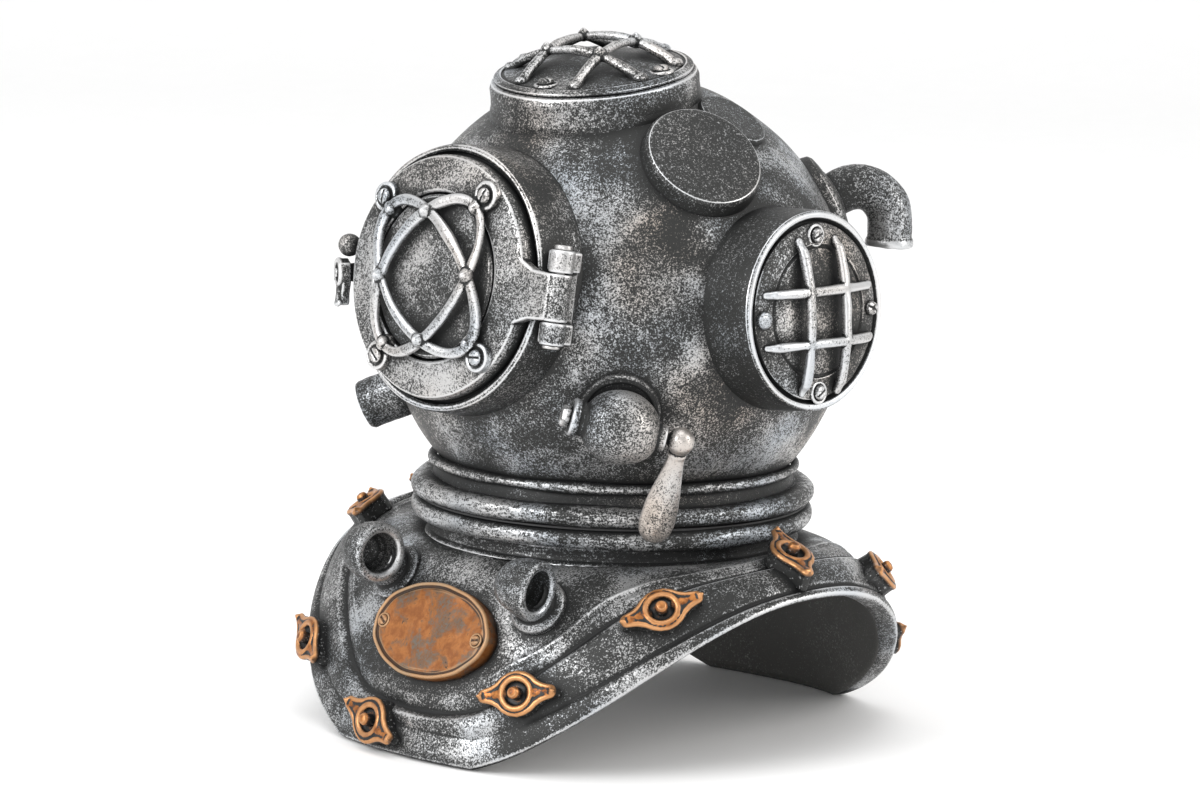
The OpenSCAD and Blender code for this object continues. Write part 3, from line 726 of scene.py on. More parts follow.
def rubber(name):
    m = Mat(name)
    f = m.noise(2600, 3.0, 0.7, seed=1.0)
    b = m.noise(300, 2.0, 0.5, seed=2.0)
    color = m.mix((0.012, 0.012, 0.013), (0.032, 0.032, 0.033), b)
    return m.finish(color, m.span(f, 0.3, 0.7, 0.6, 0.78), 0.0, m.bump(f, 0.00008, 0.6))


def plastic(name, base=(0.03, 0.032, 0.036)):
    m = Mat(name)
    f = m.noise(3200, 2.0, 0.6, seed=5.0)
    b = m.noise(160, 2.0, 0.5, seed=6.0)
    color = m.mix(base, tuple(x * 1.6 for x in base), b)
    return m.finish(color, m.span(f, 0.3, 0.7, 0.36, 0.5), 0.0, m.bump(f, 0.00004, 0.4))


def hose_plastic(name):
    m = Mat(name)
    f = m.noise(700, 3.0, 0.5, seed=7.0)
    color = m.mix((0.72, 0.78, 0.80), (0.84, 0.88, 0.88), f)
    return m.finish(color, m.span(f, 0.3, 0.7, 0.14, 0.24), 0.0, m.bump(f, 0.00003, 0.3), Transmission_Weight=0.35, IOR=1.42)


def sinter(name):
    m = Mat(name)
    v = m.voronoi(1500)
    f = m.noise(1200, 3.0, 0.6, seed=8.0)
    color = m.mix((0.10, 0.16, 0.24), (0.36, 0.46, 0.58), m.math("ADD", m.math("MULTIPLY", v, 0.7), m.math("MULTIPLY", f, 0.4)))
    return m.finish(color, 0.85, 0.0, m.bump(v, 0.0003, 0.8))


M_DOME = gunmetal("gunmetal_dome", cover=0.38, seed=1.0, warm=0.6, edge=0.7, patch=1.3)
M_RING = gunmetal("gunmetal_rings", cover=0.68, seed=2.0, edge=1.0, warm=0.15, streak=(1, 1, 4))
M_PLATE = gunmetal("gunmetal_plate", cover=0.46, seed=3.0, edge=1.0, warm=0.1, patch=1.3)
M_DOOR = gunmetal("gunmetal_door", cover=0.70, seed=4.0, edge=1.0, warm=0.2)
M_WINDOW = gunmetal("gunmetal_window", cover=0.52, seed=5.0, edge=0.8, warm=0.2)
M_BARS = gunmetal("silver_bars", cover=1.0, seed=6.0, edge=0.4, warm=0.35, gloss=0.34)
M_BARS_TOP = gunmetal("silver_bars_top", cover=0.62, seed=6.5, edge=0.45, warm=0.35, gloss=0.34)
M_FRAME = gunmetal("gunmetal_frame", cover=0.28, seed=7.0, edge=0.85, warm=0.3)
M_SIDE = gunmetal("gunmetal_side", cover=0.46, seed=8.0, edge=1.0, warm=0.5)
M_BOSS = gunmetal("gunmetal_boss", cover=0.14, seed=9.0, edge=1.5, warm=0.2, patch=0.3)
M_FIT = gunmetal("gunmetal_fittings", cover=0.55, seed=10.0, edge=0.9, warm=0.25)
M_EYE = gunmetal("gunmetal_eyes", cover=0.44, seed=12.0, edge=0.75, warm=0.3, grain=0.8)
M_LEVER = gunmetal("silver_lever", cover=1.15, seed=11.0, edge=0.8, warm=0.6, gloss=0.34)
M_TOP = gunmetal("gunmetal_top", cover=0.36, seed=13.0, edge=1.0, warm=0.35)
M_INSIDE = blackwash("blackwash_inside")
M_COPPER = copper("copper_paint")
M_PLAQUE = patina("copper_patina")
M_STEEL = steel("steel")
M_RUBBER = rubber("rubber_seal")
M_PLASTIC = plastic("black_plastic_moulding")
M_HOSE = hose_plastic("clear_airline")
M_STONE = sinter("sintered_airstone")

# ------------------------------------------------------------- breastplate
HW, HL = 59.3, 57.3
SQ = 2 / 2.2


def spow(v, e):
    return np.sign(v) * np.abs(v) ** e


def rim_z(c):
    return np.maximum(0, 37 * (1 - (np.abs(c) ** SQ) ** 2.2) - 3)


def skin(t, w):
    """t in degrees round the plate from the front toward +X, w from 0 at the neck to 1 at the rim."""
    t = np.radians(np.asarray(t, float))
    w = np.asarray(w, float)
    s, c = np.sin(t), np.cos(t)
    x0, y0 = COLLAR_R * s, NB - COLLAR_R * c
    x1, y1 = HW * spow(s, SQ), -HL * spow(c, SQ)
    z = COLLAR_H + (rim_z(c) - COLLAR_H) * w ** (1.8 + 1.4 * s * s) + (0.8 + 1.7 * s * s) * 4 * w * (1 - w)
    return np.stack([x0 + (x1 - x0) * w, y0 + (y1 - y0) * w, z], -1)


def skin_frame(t, w):
    a, b = np.minimum(1, w + 0.02), np.maximum(0, w - 0.02)
    e = skin(t + 1, w) - skin(t - 1, w)
    e = e / np.linalg.norm(e, axis=-1)[..., None]
    n = np.cross(skin(t, a) - skin(t, b), skin(t + 1, w) - skin(t - 1, w))
    n = n / np.linalg.norm(n, axis=-1)[..., None]
    return e, n


def on_plate(t, w, lift=0.0, spin=0.0):
    e, n = skin_frame(t, w)
    m = np.eye(4)
    m[:3, 0], m[:3, 1], m[:3, 2], m[:3, 3] = e, np.cross(n, e), n, skin(t, w) + n * lift
    return m @ rot("Z", spin)


def band_in(t):
    return 0.6 + 0.27 * np.abs(np.cos(np.radians(t))) ** 3


def breastplate():
    nt, nw = 420, 132
    t = np.arange(nt) * 360 / nt
    w = np.linspace(0, 1, nw) ** 1.0
    tt, ww = np.meshgrid(t, w, indexing="ij")
    base = skin(tt, ww)
    e, n = skin_frame(tt, ww)
    # distance in mm along each line from the neck to the rim
    seg = np.linalg.norm(np.diff(base, axis=1), axis=2)
    s = np.concatenate([np.zeros((nt, 1)), np.cumsum(seg, 1)], 1)

    def at(wv):
        idx = np.clip(wv * (nw - 1), 0, nw - 1.001)
        i = idx.astype(int)
        fr = idx - i
        r = np.arange(nt)
        return s[r, i] * (1 - fr) + s[r, i + 1] * fr

    sb = at(band_in(t))[:, None]
    sr = at(np.full(nt, 0.925))[:, None]
    end = s[:, -1:]
    o = np.zeros_like(s)
    wobble = wob(base.reshape(-1, 3), 14, 31).reshape(nt, nw)
    fine = wob(base.reshape(-1, 3), 5, 32).reshape(nt, nw)
    d = s - sb + 0.25 * wobble
    o -= 0.45 * np.exp(-((d + 0.1) / 0.55) ** 2)
    rise = sstep(0.1, 1.5, d)
    u = np.clip(d / np.maximum(sr - sb, 1), 0, 1)
    o += rise * (0.9 + 0.5 * np.sin(np.pi * u))
    o += 0.5 * np.exp(-((d + 2.6) / 1.1) ** 2) * 0.5
    dr = s - sr
    side_on = 0.25 + 0.75 * sstep(22, 48, np.abs((tt + 180) % 360 - 180))
    o -= side_on * 0.5 * np.exp(-((dr + 0.1) / 0.5) ** 2)
    q = np.clip((s - sr - 0.5) / np.maximum(end - sr - 0.5, 0.5), 0, 1)
    o += side_on * sstep(0, 0.12, q) * 0.5 * np.sqrt(np.clip(1 - (2 * q - 1) ** 2, 0, 1))
    # short folds cast into the skin beside the neck on the port side of the front
    fold = sstep(0.02, 0.08, ww) * (1 - sstep(0.2, 0.34, ww)) * np.exp(-((((tt - 18 + 180) % 360 - 180) / 22.0) ** 2))
    o += 0.16 * fold * np.sin(np.radians(tt) * 88 + wobble * 0.6)
    # faint ridge along the side flange, just inside the band
    ridge = np.exp(-((s - sb + 5.2 + 1.2 * wobble) / 0.8) ** 2) * sstep(0.1, 0.5, np.abs(np.sin(np.radians(tt))))
    o += 0.35 * ridge
    o += 0.12 * wobble + 0.05 * fine
    top = base + n * o[..., None]
    fall = np.array([0, 0, 0.5])
    top = top + fall * sstep(0.9, 0.96, ww)[..., None] * 0.6
    # underside
    k = 40
    wi = np.linspace(1, 0, k)
    t2, w2 = np.meshgrid(t, wi, indexing="ij")
    b2 = skin(t2, w2)
    _, n2 = skin_frame(t2, w2)
    sh = (2 * w2 - 1) ** 6
    side = np.stack([np.sin(np.radians(t2)), -np.cos(np.radians(t2)), 0 * t2], -1)
    under = b2 - 3.0 * ((1 - sh)[..., None] * n2 + sh[..., None] * side)
    under[..., 2] = np.maximum(under[..., 2], rim_z(np.cos(np.radians(t2))))
    under += n2 * (0.15 * wob(b2.reshape(-1, 3), 12, 33).reshape(nt, k))[..., None]
    # a rounded edge between the two
    rim = []
    for f in (0.2, 0.5, 0.8):
        mid = top[:, -1] * (1 - f) + under[:, 0] * f
        out = np.stack([np.sin(np.radians(t)), -np.cos(np.radians(t)), 0 * t], -1)
        rim.append(mid + out * 0.7 * math.sin(math.pi * f) - np.array([0, 0, 0.25 * math.sin(math.pi * f)]))
    rows = np.concatenate([top, np.stack(rim, 1), under], 1)
    m = rows.shape[1]
    v = rows.reshape(-1, 3)
    f = []
    for i in range(nt):
        i2 = (i + 1) % nt
        for j in range(m):
            j2 = (j + 1) % m
            f.append((i * m + j, i2 * m + j, i2 * m + j2, i * m + j2))
    return outward_faces(v, f), nw, m, nt


bp, bp_nw, bp_m, bp_nt = breastplate()
plate_obj = piece("breastplate_casting", bp, M_PLATE, nodes=("breastplate", "rim_bead", "brail_band"))
plate_obj.data.materials.append(M_INSIDE)
mi = np.zeros(len(plate_obj.data.polygons), np.int32)
cent = np.zeros(len(mi) * 3)
for idx, poly in enumerate(plate_obj.data.polygons):
    j = min(vi % bp_m for vi in poly.vertices)
    k = max(vi % bp_m for vi in poly.vertices)
    if j >= bp_nw + 3 or (k == bp_m - 1 and j == 0):
        mi[idx] = 1
plate_obj.data.polygons.foreach_set("material_index", mi)

# ------------------------------------------------------------- neck rings
AXIS = T(NX, NB, 0)


def neck_part(name, prof, mat, nodes, seed, cast=0.14, size=9.0, r=0.3):
    return piece(name, lathe(prof, 220, r, 0.7, AXIS), mat, nodes=nodes, seed=seed, cast=cast, cast_size=size)


bore = 34.5
neck_part("neck_collar", [(bore, col_lo[2]), (COLLAR_R + 1.5, col_lo[2] + 0.0), (COLLAR_R + 1.1, col_lo[2] + 0.5), (COLLAR_R + 0.35, col_lo[2] + 0.9), (COLLAR_R + 0.1, 40.2), (COLLAR_R, col_hi[2]), (bore, col_hi[2])],
          M_RING, ("neck_collar",), 41, 0.2, 7)


def torus_prof(z0, z1, rin, rout, power=2.3):
    zm, hh = (z0 + z1) / 2, (z1 - z0) / 2
    pts = [(rin, z0)]
    for a in np.linspace(-90, 90, 19):
        c, s_ = math.cos(math.radians(a)), math.sin(math.radians(a))
        pts.append((rout - hh * 1.15 + hh * 1.15 * abs(c) ** (2 / power), zm + hh * math.copysign(abs(s_) ** (2 / power), s_)))
    pts.append((rin, z1))
    return pts


neck_part("neck_ring_lower", torus_prof(low_lo[2], low_hi[2], bore, RING_R), M_RING, ("neck_ring_lower",), 42, 0.2, 11)
neck_part("neck_gasket", [(bore, gas_lo[2]), (40.2, gas_lo[2]), (40.2, gas_hi[2]), (bore, gas_hi[2])], M_RUBBER, ("neck_gasket",), 43, 0.03, 6, 0.08)
neck_part("neck_ring_upper", torus_prof(up_lo[2], up_hi[2], COLLAR_R - 0.2, RING2_R), M_RING, ("neck_ring_upper",), 44, 0.2, 12)
neck_part("neck_lip", torus_prof(lip_lo[2] - 0.1, lip_hi[2] + 0.1, 36.9, LIP_R, 2.0), M_RING, ("neck_lip",), 45, 0.16, 9)


# ------------------------------------------------------------ helmet shell
def dome():
    prof = []
    z_cut = 54.0
    th_end = math.acos((z_cut - DC[2]) / R)
    for th in np.linspace(0.0, th_end, 150):
        prof.append((R * math.sin(th), DC[2] + R * math.cos(th)))
    # concave skirt under the lip, down to the upper ring
    prof += [(37.0, 52.9), (37.15, 51.8), (37.45, 50.9), (37.5, 50.2), (37.3, up_lo[2] + 0.1)]
    prof += [(34.0, up_lo[2] + 0.1), (34.0, 50.5), (34.0, 56.3)]
    ri = R - 3.0
    th_in = math.asin(34.0 / ri)
    for th in np.linspace(math.pi - th_in, 0.0, 60):
        prof.append((ri * math.sin(th), DC[2] + ri * math.cos(th)))
    prof[0] = (0.0, prof[0][1])
    prof[-1] = (0.0, prof[-1][1])
    p = np.array(prof)
    segs = 300
    a = np.arange(segs) * 2 * math.pi / segs
    body_ = p[1:-1]
    v = np.stack([np.outer(body_[:, 0], np.cos(a)) + NX, np.outer(body_[:, 0], np.sin(a)) + NB, np.repeat(body_[:, 1:2], segs, 1)], -1).reshape(-1, 3)
    f = grid_faces(len(body_), segs, False, True)
    lo_, hi_ = len(v), len(v) + 1
    v = np.vstack([v, [NX, NB, p[0][1]], [NX, NB, p[-1][1]]])
    for j in range(segs):
        f.append((lo_, (j + 1) % segs, j))
        f.append((hi_, (len(body_) - 1) * segs + j, (len(body_) - 1) * segs + (j + 1) % segs))
    v, f = outward_faces(v, f)
    # hand-worked unevenness of the outer skin
    d = v - DC
    rad = np.linalg.norm(d, axis=1)
    outer = rad > R - 1.2
    n = d / np.maximum(rad, 1e-6)[:, None]
    amp = 0.10 * wob(v, 16, 51) + 0.05 * wob(v, 6, 52)
    # a few shallow tool marks between the front port and the side port
    marks = [(57, 16, 4.2, 1.3, -8, 0.30), (60, 11.5, 4.6, 1.2, 12, 0.28), (55, 8, 6.0, 1.4, -4, 0.22), (63, 19.5, 3.2, 1.1, 20, 0.22), (52, 21, 3.6, 1.2, 5, 0.18)]
    for az, el, la, lb, turn, depth in marks:
        m = np.linalg.inv(face(az, el) @ rot("Z", turn))
        q = put(v, m)
        near = (q[:, 2] > 0)
        e = np.abs(q[:, 0] / la) ** 2 + np.abs((q[:, 1] + 0.12 * q[:, 0] ** 2 / la) / lb) ** 2
        amp = amp - near * depth * np.exp(-e) + near * depth * 0.6 * np.exp(-((np.sqrt(e) - 1.5) / 0.45) ** 2)
    v = v + n * (amp * outer)[:, None]
    return v, f


def bore_cutter(xf, r, z0=20, z1=70, segs=96):
    return lathe([(0, z0), (r, z0), (r, z1), (0, z1)], segs, 0.01, 50, xf)


shell = cut(dome(), [bore_cutter(FRONT, 17.5), bore_cutter(face(-52, -24), 5.25, 20, 70, 64), bore_cutter(face(142, 28), 4.65, 20, 70, 64),
                     bore_cutter(face(-142, 28), 4.65, 20, 70, 64)])
shell_obj = piece("helmet_shell_skin", shell, M_DOME, nodes=("helmet_shell",))
shell_obj.data.materials.append(M_INSIDE)
mi = []
for poly in shell_obj.data.polygons:
    c = np.array(poly.center) * 1000
    d = np.linalg.norm(c - DC)
    mi.append(1 if (d < R - 1.3 and not (c[2] < 56 and math.hypot(c[0] - NX, c[1] - NB) > 36)) else 0)
shell_obj.data.polygons.foreach_set("material_index", mi)


# --------------------------------------------------------- turned fittings
def turned_on_dome(prof, xf, segs=160, r=0.35, step=0.9, depth=0.35, foot=0.0):
    """A turned solid whose base sits on the dome: its lowest rows follow the dome's skin. prof's first and last points are the base."""
    p = np.array(prof, float)
    q = refine(soften(p, r), step)
    a = np.arange(segs) * 2 * math.pi / segs
    axis_end = q[-1][0] < 1e-6
    body_ = q[:-1] if axis_end else q
    v = np.stack([np.outer(body_[:, 0], np.cos(a)), np.outer(body_[:, 0], np.sin(a)), np.repeat(body_[:, 1:2], segs, 1)], -1)
    v[0] = seat(v[0], xf, slice(None), depth)
    # the outer wall's height is stretched so that it runs from the dome up to the second corner
    if not axis_end:
        v[-1] = seat(v[-1], xf, slice(None), depth)
    m = len(body_)
    flat = v.reshape(-1, 3)
    f = grid_faces(m, segs, not axis_end, True)
    if axis_end:
        hi_ = len(flat)
        flat = np.vstack([flat, [0, 0, q[-1][1]]])
        for j in range(segs):
            f.append((hi_, (m - 1) * segs + j, (m - 1) * segs + (j + 1) % segs))
        lo_ = len(flat)
        flat = np.vstack([flat, [0, 0, 44.0]])
        for j in range(segs):
            f.append((lo_, (j + 1) % segs, j))
    flat = put(flat, xf)
    return outward_faces(flat, f)


# front port: bezel ring
front_ring = turned_on_dome([(27.1, 38.0), (27.0, 42.2), (26.95, 45.0), (26.9, 48.4), (26.5, 49.6), (25.8, 49.95), (25.15, 49.6), (24.9, 48.2), (17.5, 48.2), (17.5, 46.0)], FRONT, 220, 0.5)
piece("front_port_bezel", front_ring, M_FRAME, nodes=("front_frame",), seed=61, cast=0.14, cast_size=9)


# front port: door with its hinge leaf and middle knuckle
def door():
    prof = [(14, 48.4), (23.8, 48.4), (24.3, 48.9), (24.45, 50.0), (24.4, 51.5), (24.0, 52.4), (23.3, 52.7), (20, 53.05), (17.3, 53.3), (16.85, 53.1), (16.6, 52.2), (16.55, 51.0), (14, 51.0)]
    ringp = lathe(prof, 240, 0.22, 0.6)
    leaf = prism([(21.2, -7.2), (24.3, -6.1), (26.5, -5.25), (31.7, -4.9), (31.7, 4.2), (26.5, 4.55), (24.3, 5.6), (21.2, 7.0)], 50.35, 52.75, 1.0, 0.3, 1.2)
    knuckle = rod((31.7, -5.0, 50), (31.7, 4.3, 50), 2.45, 48, 0.3)
    body_ = fuse([ringp, leaf, knuckle], 0.22, 3)
    return body_


door_v, door_f = door()
piece("front_port_door", moved((door_v, door_f), FRONT), M_DOOR, "front_door", ("front_door",), seed=62, cast=0.08, cast_size=7)
pane = lathe([(0, 51.05), (15.6, 51.05), (16.15, 51.6), (16.15, 52.9), (15.7, 53.35), (12, 53.75), (6, 54.2), (0, 54.4)], 160, 0.3, 0.7, FRONT)
piece("front_port_pane", pane, M_WINDOW, "front_door", ("front_window",), seed=63, cast=0.16, cast_size=6)


def cage_z(x, y, top, k, r0):
    return top - k * (x * x + y * y) / (r0 * r0)


def front_guard():
    parts = []
    for sp in (48.5, -48.5):
        c, s_ = math.cos(math.radians(sp)), math.sin(math.radians(sp))
        pts = []
        for a in np.arange(0, 360, 4):
            x, y = 18.2 * math.cos(math.radians(a)), 10.2 * math.sin(math.radians(a))
            X, Y = x * c - y * s_, x * s_ + y * c
            pts.append((X, Y, cage_z(X, Y, 57.15, 3.6, 21)))
        pts = np.array(pts)
        rr = 1.12 + 0.10 * wob(pts, 7, 71 + int(sp))
        parts.append(tube(pts, rr, (0, 0, 1), 16, 0.72, True, 0.8))
    for x, y in ((12.4, 0), (-12.4, 0), (0, 12.8), (0, -12.8)):
        z = cage_z(x, y, 57.25, 3.6, 21)
        parts.append(ball((x, y, z + 0.35), 1.45, (1, 1, 0.95)))
        parts.append(ball((x, y, z + 1.25), 0.75))
    for sx in (-1, 1):
        for sy in (-1, 1):
            cx, cy = sx * 14.15, sy * 15.9
            z0 = 52.9
            ang = math.atan2(cy, cx)
            m = T(cx, cy, 0) @ rot("Z", math.degrees(ang))
            outline = [(3.1 * math.cos(q), 3.1 * math.sin(q)) for q in np.linspace(-2.2, 2.2, 17)] + [(-4.6, 1.6), (-5.2, 0), (-4.6, -1.6)]
            pad = prism(outline, z0 - 0.6, z0 + 1.05, 0.95, 0.35)
            parts.append(moved(pad, m))
            rim = [(2.55 * math.cos(q), 2.55 * math.sin(q), z0 + 1.0) for q in np.linspace(0, 2 * math.pi, 37)[:-1]]
            parts.append(moved(tube(rim, 0.42, (0, 0, 1), 10, 1, True), m))
            u = np.array([math.cos(ang), math.sin(ang)])
            a0 = np.array([*(u * 17.6), cage_z(*(u * 17.6), 57.25, 3.6, 21)])
            parts.append(tube([a0, (a0 + [u[0] * 1.5, u[1] * 1.5, -0.8]), [cx - u[0] * 2.2, cy - u[1] * 2.2, z0 + 1.0]], [1.2, 1.3, 1.5], (0, 0, 1), 14))
    return fuse(parts, 0.22, 4)


piece("front_port_guard", moved(front_guard(), GUARD), M_BARS, "front_door", ("front_guard",), seed=64, cast=0.07, cast_size=2.5)


def button(r, h, seed, slot_cut=True):
    """Round screw head with a soft edge and a worn driver slot."""
    g = np.random.default_rng(seed)
    part = lathe([(0, -0.4), (r, -0.4), (r, h * 0.55), (r * 0.82, h * 0.9), (r * 0.4, h), (0, h * 1.02)], 40, 0.25, 0.3)
    if slot_cut:
        v, f = part
        v = v.copy()
        depth = np.exp(-(v[:, 1] / 0.24) ** 2) * (v[:, 2] > h * 0.4) * (np.abs(v[:, 0]) < r * 0.9)
        v[:, 2] -= 0.28 * depth
        part = (v, f)
    return moved(part, rot("Z", float(g.uniform(0, 180))))


parts = []
for i, (sx, sy) in enumerate(((-1, -1), (-1, 1), (1, -1), (1, 1))):
    parts.append(moved(button(1.6, 1.25, 80 + i), T(sx * 14.15, sy * 15.9, 53.75)))
piece("front_guard_screws", moved(joined(*parts), GUARD), M_BARS, "front_door", ("front_guard_screws",), seed=65, cast=0.03, cast_size=1.5)

# hinge bracket on the bezel: two outer knuckles and their feet
parts = []
for y0, y1 in ((4.5, 8.9), (-9.7, -5.2)):
    parts.append(rod((31.7, y0, 50), (31.7, y1, 50), 2.45, 48, 0.35))
    parts.append(box((26.75, y0 + 0.2, 44.2), (31.7, y1 - 0.2, 49.2), 0.35))
parts.append(box((26.85, -9.6, 43.4), (30.4, 8.8, 46.4), 0.4))
piece("hinge_bracket_casting", moved(fuse(parts, 0.2, 3), FRONT), M_FIT, "helmet", ("hinge_bracket",), seed=66, cast=0.05, cast_size=4)
parts = [rod((31.7, -10.3, 50), (31.7, 9.9, 50), 0.88, 24, 0.1), rod((31.7, 8.9, 50), (31.7, 9.9, 50), 1.75, 36, 0.3), rod((31.7, -10.4, 50), (31.7, -9.65, 50), 1.75, 36, 0.3)]
piece("hinge_pin_steel", moved(joined(*parts), FRONT), M_STEEL, "helmet", ("hinge_pin",), seed=67)

# latch beside the door
parts = [ball((0, 0, 0), 2.35), tube([(0, 0, -8.5), (0, 0, -5), (0, 0, -1)], [1.9, 1.5, 1.3], (0, 1, 0), 24),
         tube([(-0.3, -5.7, -9), (-0.3, -5.7, -4), (-0.3, -5.7, -0.9)], [2.3, 2.1, 1.9], (0, 1, 0), 24), rod((-0.3, -5.7, -3), (-0.3, -5.7, 3.0), 0.98, 24, 0.25),
         tube([(0, 0.2, -6.5), (-0.1, -3, -6.8), (-0.3, -5.7, -6.5)], [1.7, 1.5, 1.8], (0, 0, 1), 20)]
piece("latch_bracket_casting", moved(fuse(parts, 0.2, 3), LATCH), M_EYE, "helmet", ("latch_bracket",), seed=68, cast=0.08, cast_size=2.5)


def latch_nut():
    o = np.array([(-6.6, -1.3), (-4.4, -1.5), (-2.2, -2.6), (0, -3.1), (2.2, -2.6), (3, 0), (2.2, 2.6), (0, 3.1), (-2.2, 2.6), (-4.4, 1.5), (-6.6, 1.3)])
    base = prism(o, 0.05, 1.9, 1.0, 0.3, 0.5)
    rimc = [(0.1 + 2.45 * math.cos(q), 2.5 * math.sin(q), 2.1) for q in np.linspace(0, 2 * math.pi, 41)[:-1]]
    rimt = tube(rimc, 0.62, (0, 0, 1), 12, 1, True)
    wing = tube([(-2.6, 0, 1.7), (-4.4, 0, 1.9), (-6.3, 0, 2.3)], [1.5, 1.15, 0.95], (0, 0, 1), 16, 0.7)
    lip = tube([(-6.0, -1.1, 2.0), (-6.4, 0, 2.6), (-6.0, 1.1, 2.0)], 0.55, (0, 0, 1), 12)
    v, f = fuse([base, rimt, wing, lip], 0.18, 3)
    # the stud's hole
    r = np.hypot(v[:, 0], v[:, 1])
    pick = r < 1.6
    v[pick, 0] *= 1.0
    return v, f


lv, lf = latch_nut()
lv, lf = cut((lv, lf), [lathe([(0, -2), (1.08, -2), (1.08, 6), (0, 6)], 32, 0.01, 9)])
piece("latch_wing_nut_casting", moved((lv, lf), LATCH @ T(-0.3, -5.7, 0) @ rot("Z", 90)), M_EYE, "latch_nut", ("latch_wing_nut",), seed=69, cast=0.06, cast_size=2)

# ---------------------------------------------------------------- top port
top_band = turned_on_dome([(21.75, 41.0), (21.6, 43.2), (21.35, 44.2), (21.25, 46.0), (21.3, 47.6), (20.9, 48.8), (20.1, 49.1), (19.7, 48.85), (12, 48.85), (12, 47.0)], TOP, 220, 0.45)
piece("top_port_band", top_band, M_TOP, nodes=("top_frame",), seed=91, cast=0.14, cast_size=8)
plate = lathe([(0, 49.0), (19.8, 49.0), (20.3, 49.35), (20.35, 49.75), (19.9, 50.2), (18.9, 50.55), (18.6, 50.25), (18.3, 50.25), (18.0, 50.6), (12, 51.6), (6, 52.25), (0, 52.45)], 200, 0.25, 0.6, TOP)
piece("top_port_plate", plate, M_TOP, nodes=("top_plate",), seed=92, cast=0.14, cast_size=6)


def grille(s, reach, top, k, r0, rad, foot, foot_z, nub, seed, flare=1.5):
    parts = []
    for axis in (0, 1):
        for off in (-s, s):
            us = np.linspace(-reach, reach, 33)
            pts = []
            for u in us:
                x, y = (u, off) if axis == 0 else (off, u)
                z = cage_z(x, y, top, k, r0)
                drop_ = sstep(0.86, 1.0, abs(u) / reach)
                pts.append((x, y, z * (1 - drop_) + foot_z * drop_))
            pts = np.array(pts)
            rr = rad * (1 + (flare - 1) * np.exp(-((np.abs(us) - reach) / 1.6) ** 2)) + 0.07 * wob(pts, 5, seed + axis * 3 + int(off))
            parts.append(tube(pts, rr, (0, 0, 1), 16, 0.9, False, 0.85))
    if nub:
        for x in (-s, s):
            for y in (-s, s):
                z = cage_z(x, y, top, k, r0)
                parts.append(ball((x, y, z + 0.35), nub))
                parts.append(ball((x, y, z + 0.35 + nub * 0.75), nub * 0.5))
    return fuse(parts, 0.22, 4)


piece("top_port_guard", moved(grille(6.5, 16.1, 56.4, 5.9, 17.5, 1.02, 1.0, 50.6, 1.35, 95), TOP), M_BARS_TOP, nodes=("top_guard",), seed=93, cast=0.09, cast_size=2.5)
parts = []
for i, a in enumerate((0, 90, 180, 270)):
    m = rot("Z", a) @ T(16.6, 0, 50.55)
    parts.append(moved(button(1.65, 1.5, 100 + i), m))
    parts.append(moved(tube([(2.15 * math.cos(q), 2.15 * math.sin(q), 0.15) for q in np.linspace(0, 2 * math.pi, 31)[:-1]], 0.42, (0, 0, 1), 10, 1, True), m))
piece("top_port_screws", moved(joined(*parts), TOP), M_BARS_TOP, nodes=("top_screws",), seed=94, cast=0.06, cast_size=1.4)


# -------------------------------------------------------------- side ports
def side_port(tag, flip):
    def turn(part):
        v, f = part
        return outward_faces(put(v, MIRROR), f) if flip else part

    band = turned_on_dome([(20.6, 38.0), (20.4, 42.0), (20.2, 46.0), (20.1, 50.0), (20.0, 52.8), (19.8, 54.4), (19.3, 54.95), (18.6, 54.85), (18.2, 54.1), (17.9, 53.5), (12, 53.5), (12, 47.0)], PORT, 200, 0.4)
    piece(f"{tag}_port_band", turn(band), M_BAND, nodes=(f"{tag}_frame",), seed=111, cast=0.08, cast_size=9)
    disc = lathe([(0, 53.62), (17.3, 53.62), (17.65, 54.0), (17.5, 54.6), (16.8, 54.9), (13.4, 55.45), (13.05, 55.1), (12.75, 55.1), (12.4, 55.5), (8, 56.0), (0, 56.4)], 200, 0.2, 0.6, PORT)
    piece(f"{tag}_port_plate", turn(disc), M_SIDE, nodes=(f"{tag}_plate",), seed=112, cast=0.14, cast_size=5)
    guard = moved(grille(5.2, 15.2, 58.6, 2.9, 17, 1.0, 1.0, 55.2, 0, 115, 0.75), PORT @ T(0, -1, 0))
    piece(f"{tag}_port_guard", turn(guard), M_BARS, nodes=(f"{tag}_guard",), seed=113, cast=0.09, cast_size=2.5)
    ps = []
    for i, a in enumerate((0, 90, 180, 270)):
        m = rot("Z", a) @ T(15.6, 0, 54.7)
        ps.append(moved(button(1.75 if a == 180 else 1.5, 1.6, 120 + i, a != 180), m))
        if a in (90, 270):
            ps.append(moved(tube([(2.0 * math.cos(q), 2.0 * math.sin(q), 0.35) for q in np.linspace(0, 2 * math.pi, 31)[:-1]], 0.38, (0, 0, 1), 10, 1, True), m))
    piece(f"{tag}_port_screws", turn(moved(joined(*ps), PORT @ T(0, -0.6, 0))), M_BARS, nodes=(f"{tag}_screws",), seed=114, cast=0.06, cast_size=1.5)


M_BAND = gunmetal("gunmetal_side_band", cover=0.02, seed=14.0, edge=2.1, warm=0.2, patch=0.4, gloss=0.34)
side_port("port", False)
side_port("starboard", True)

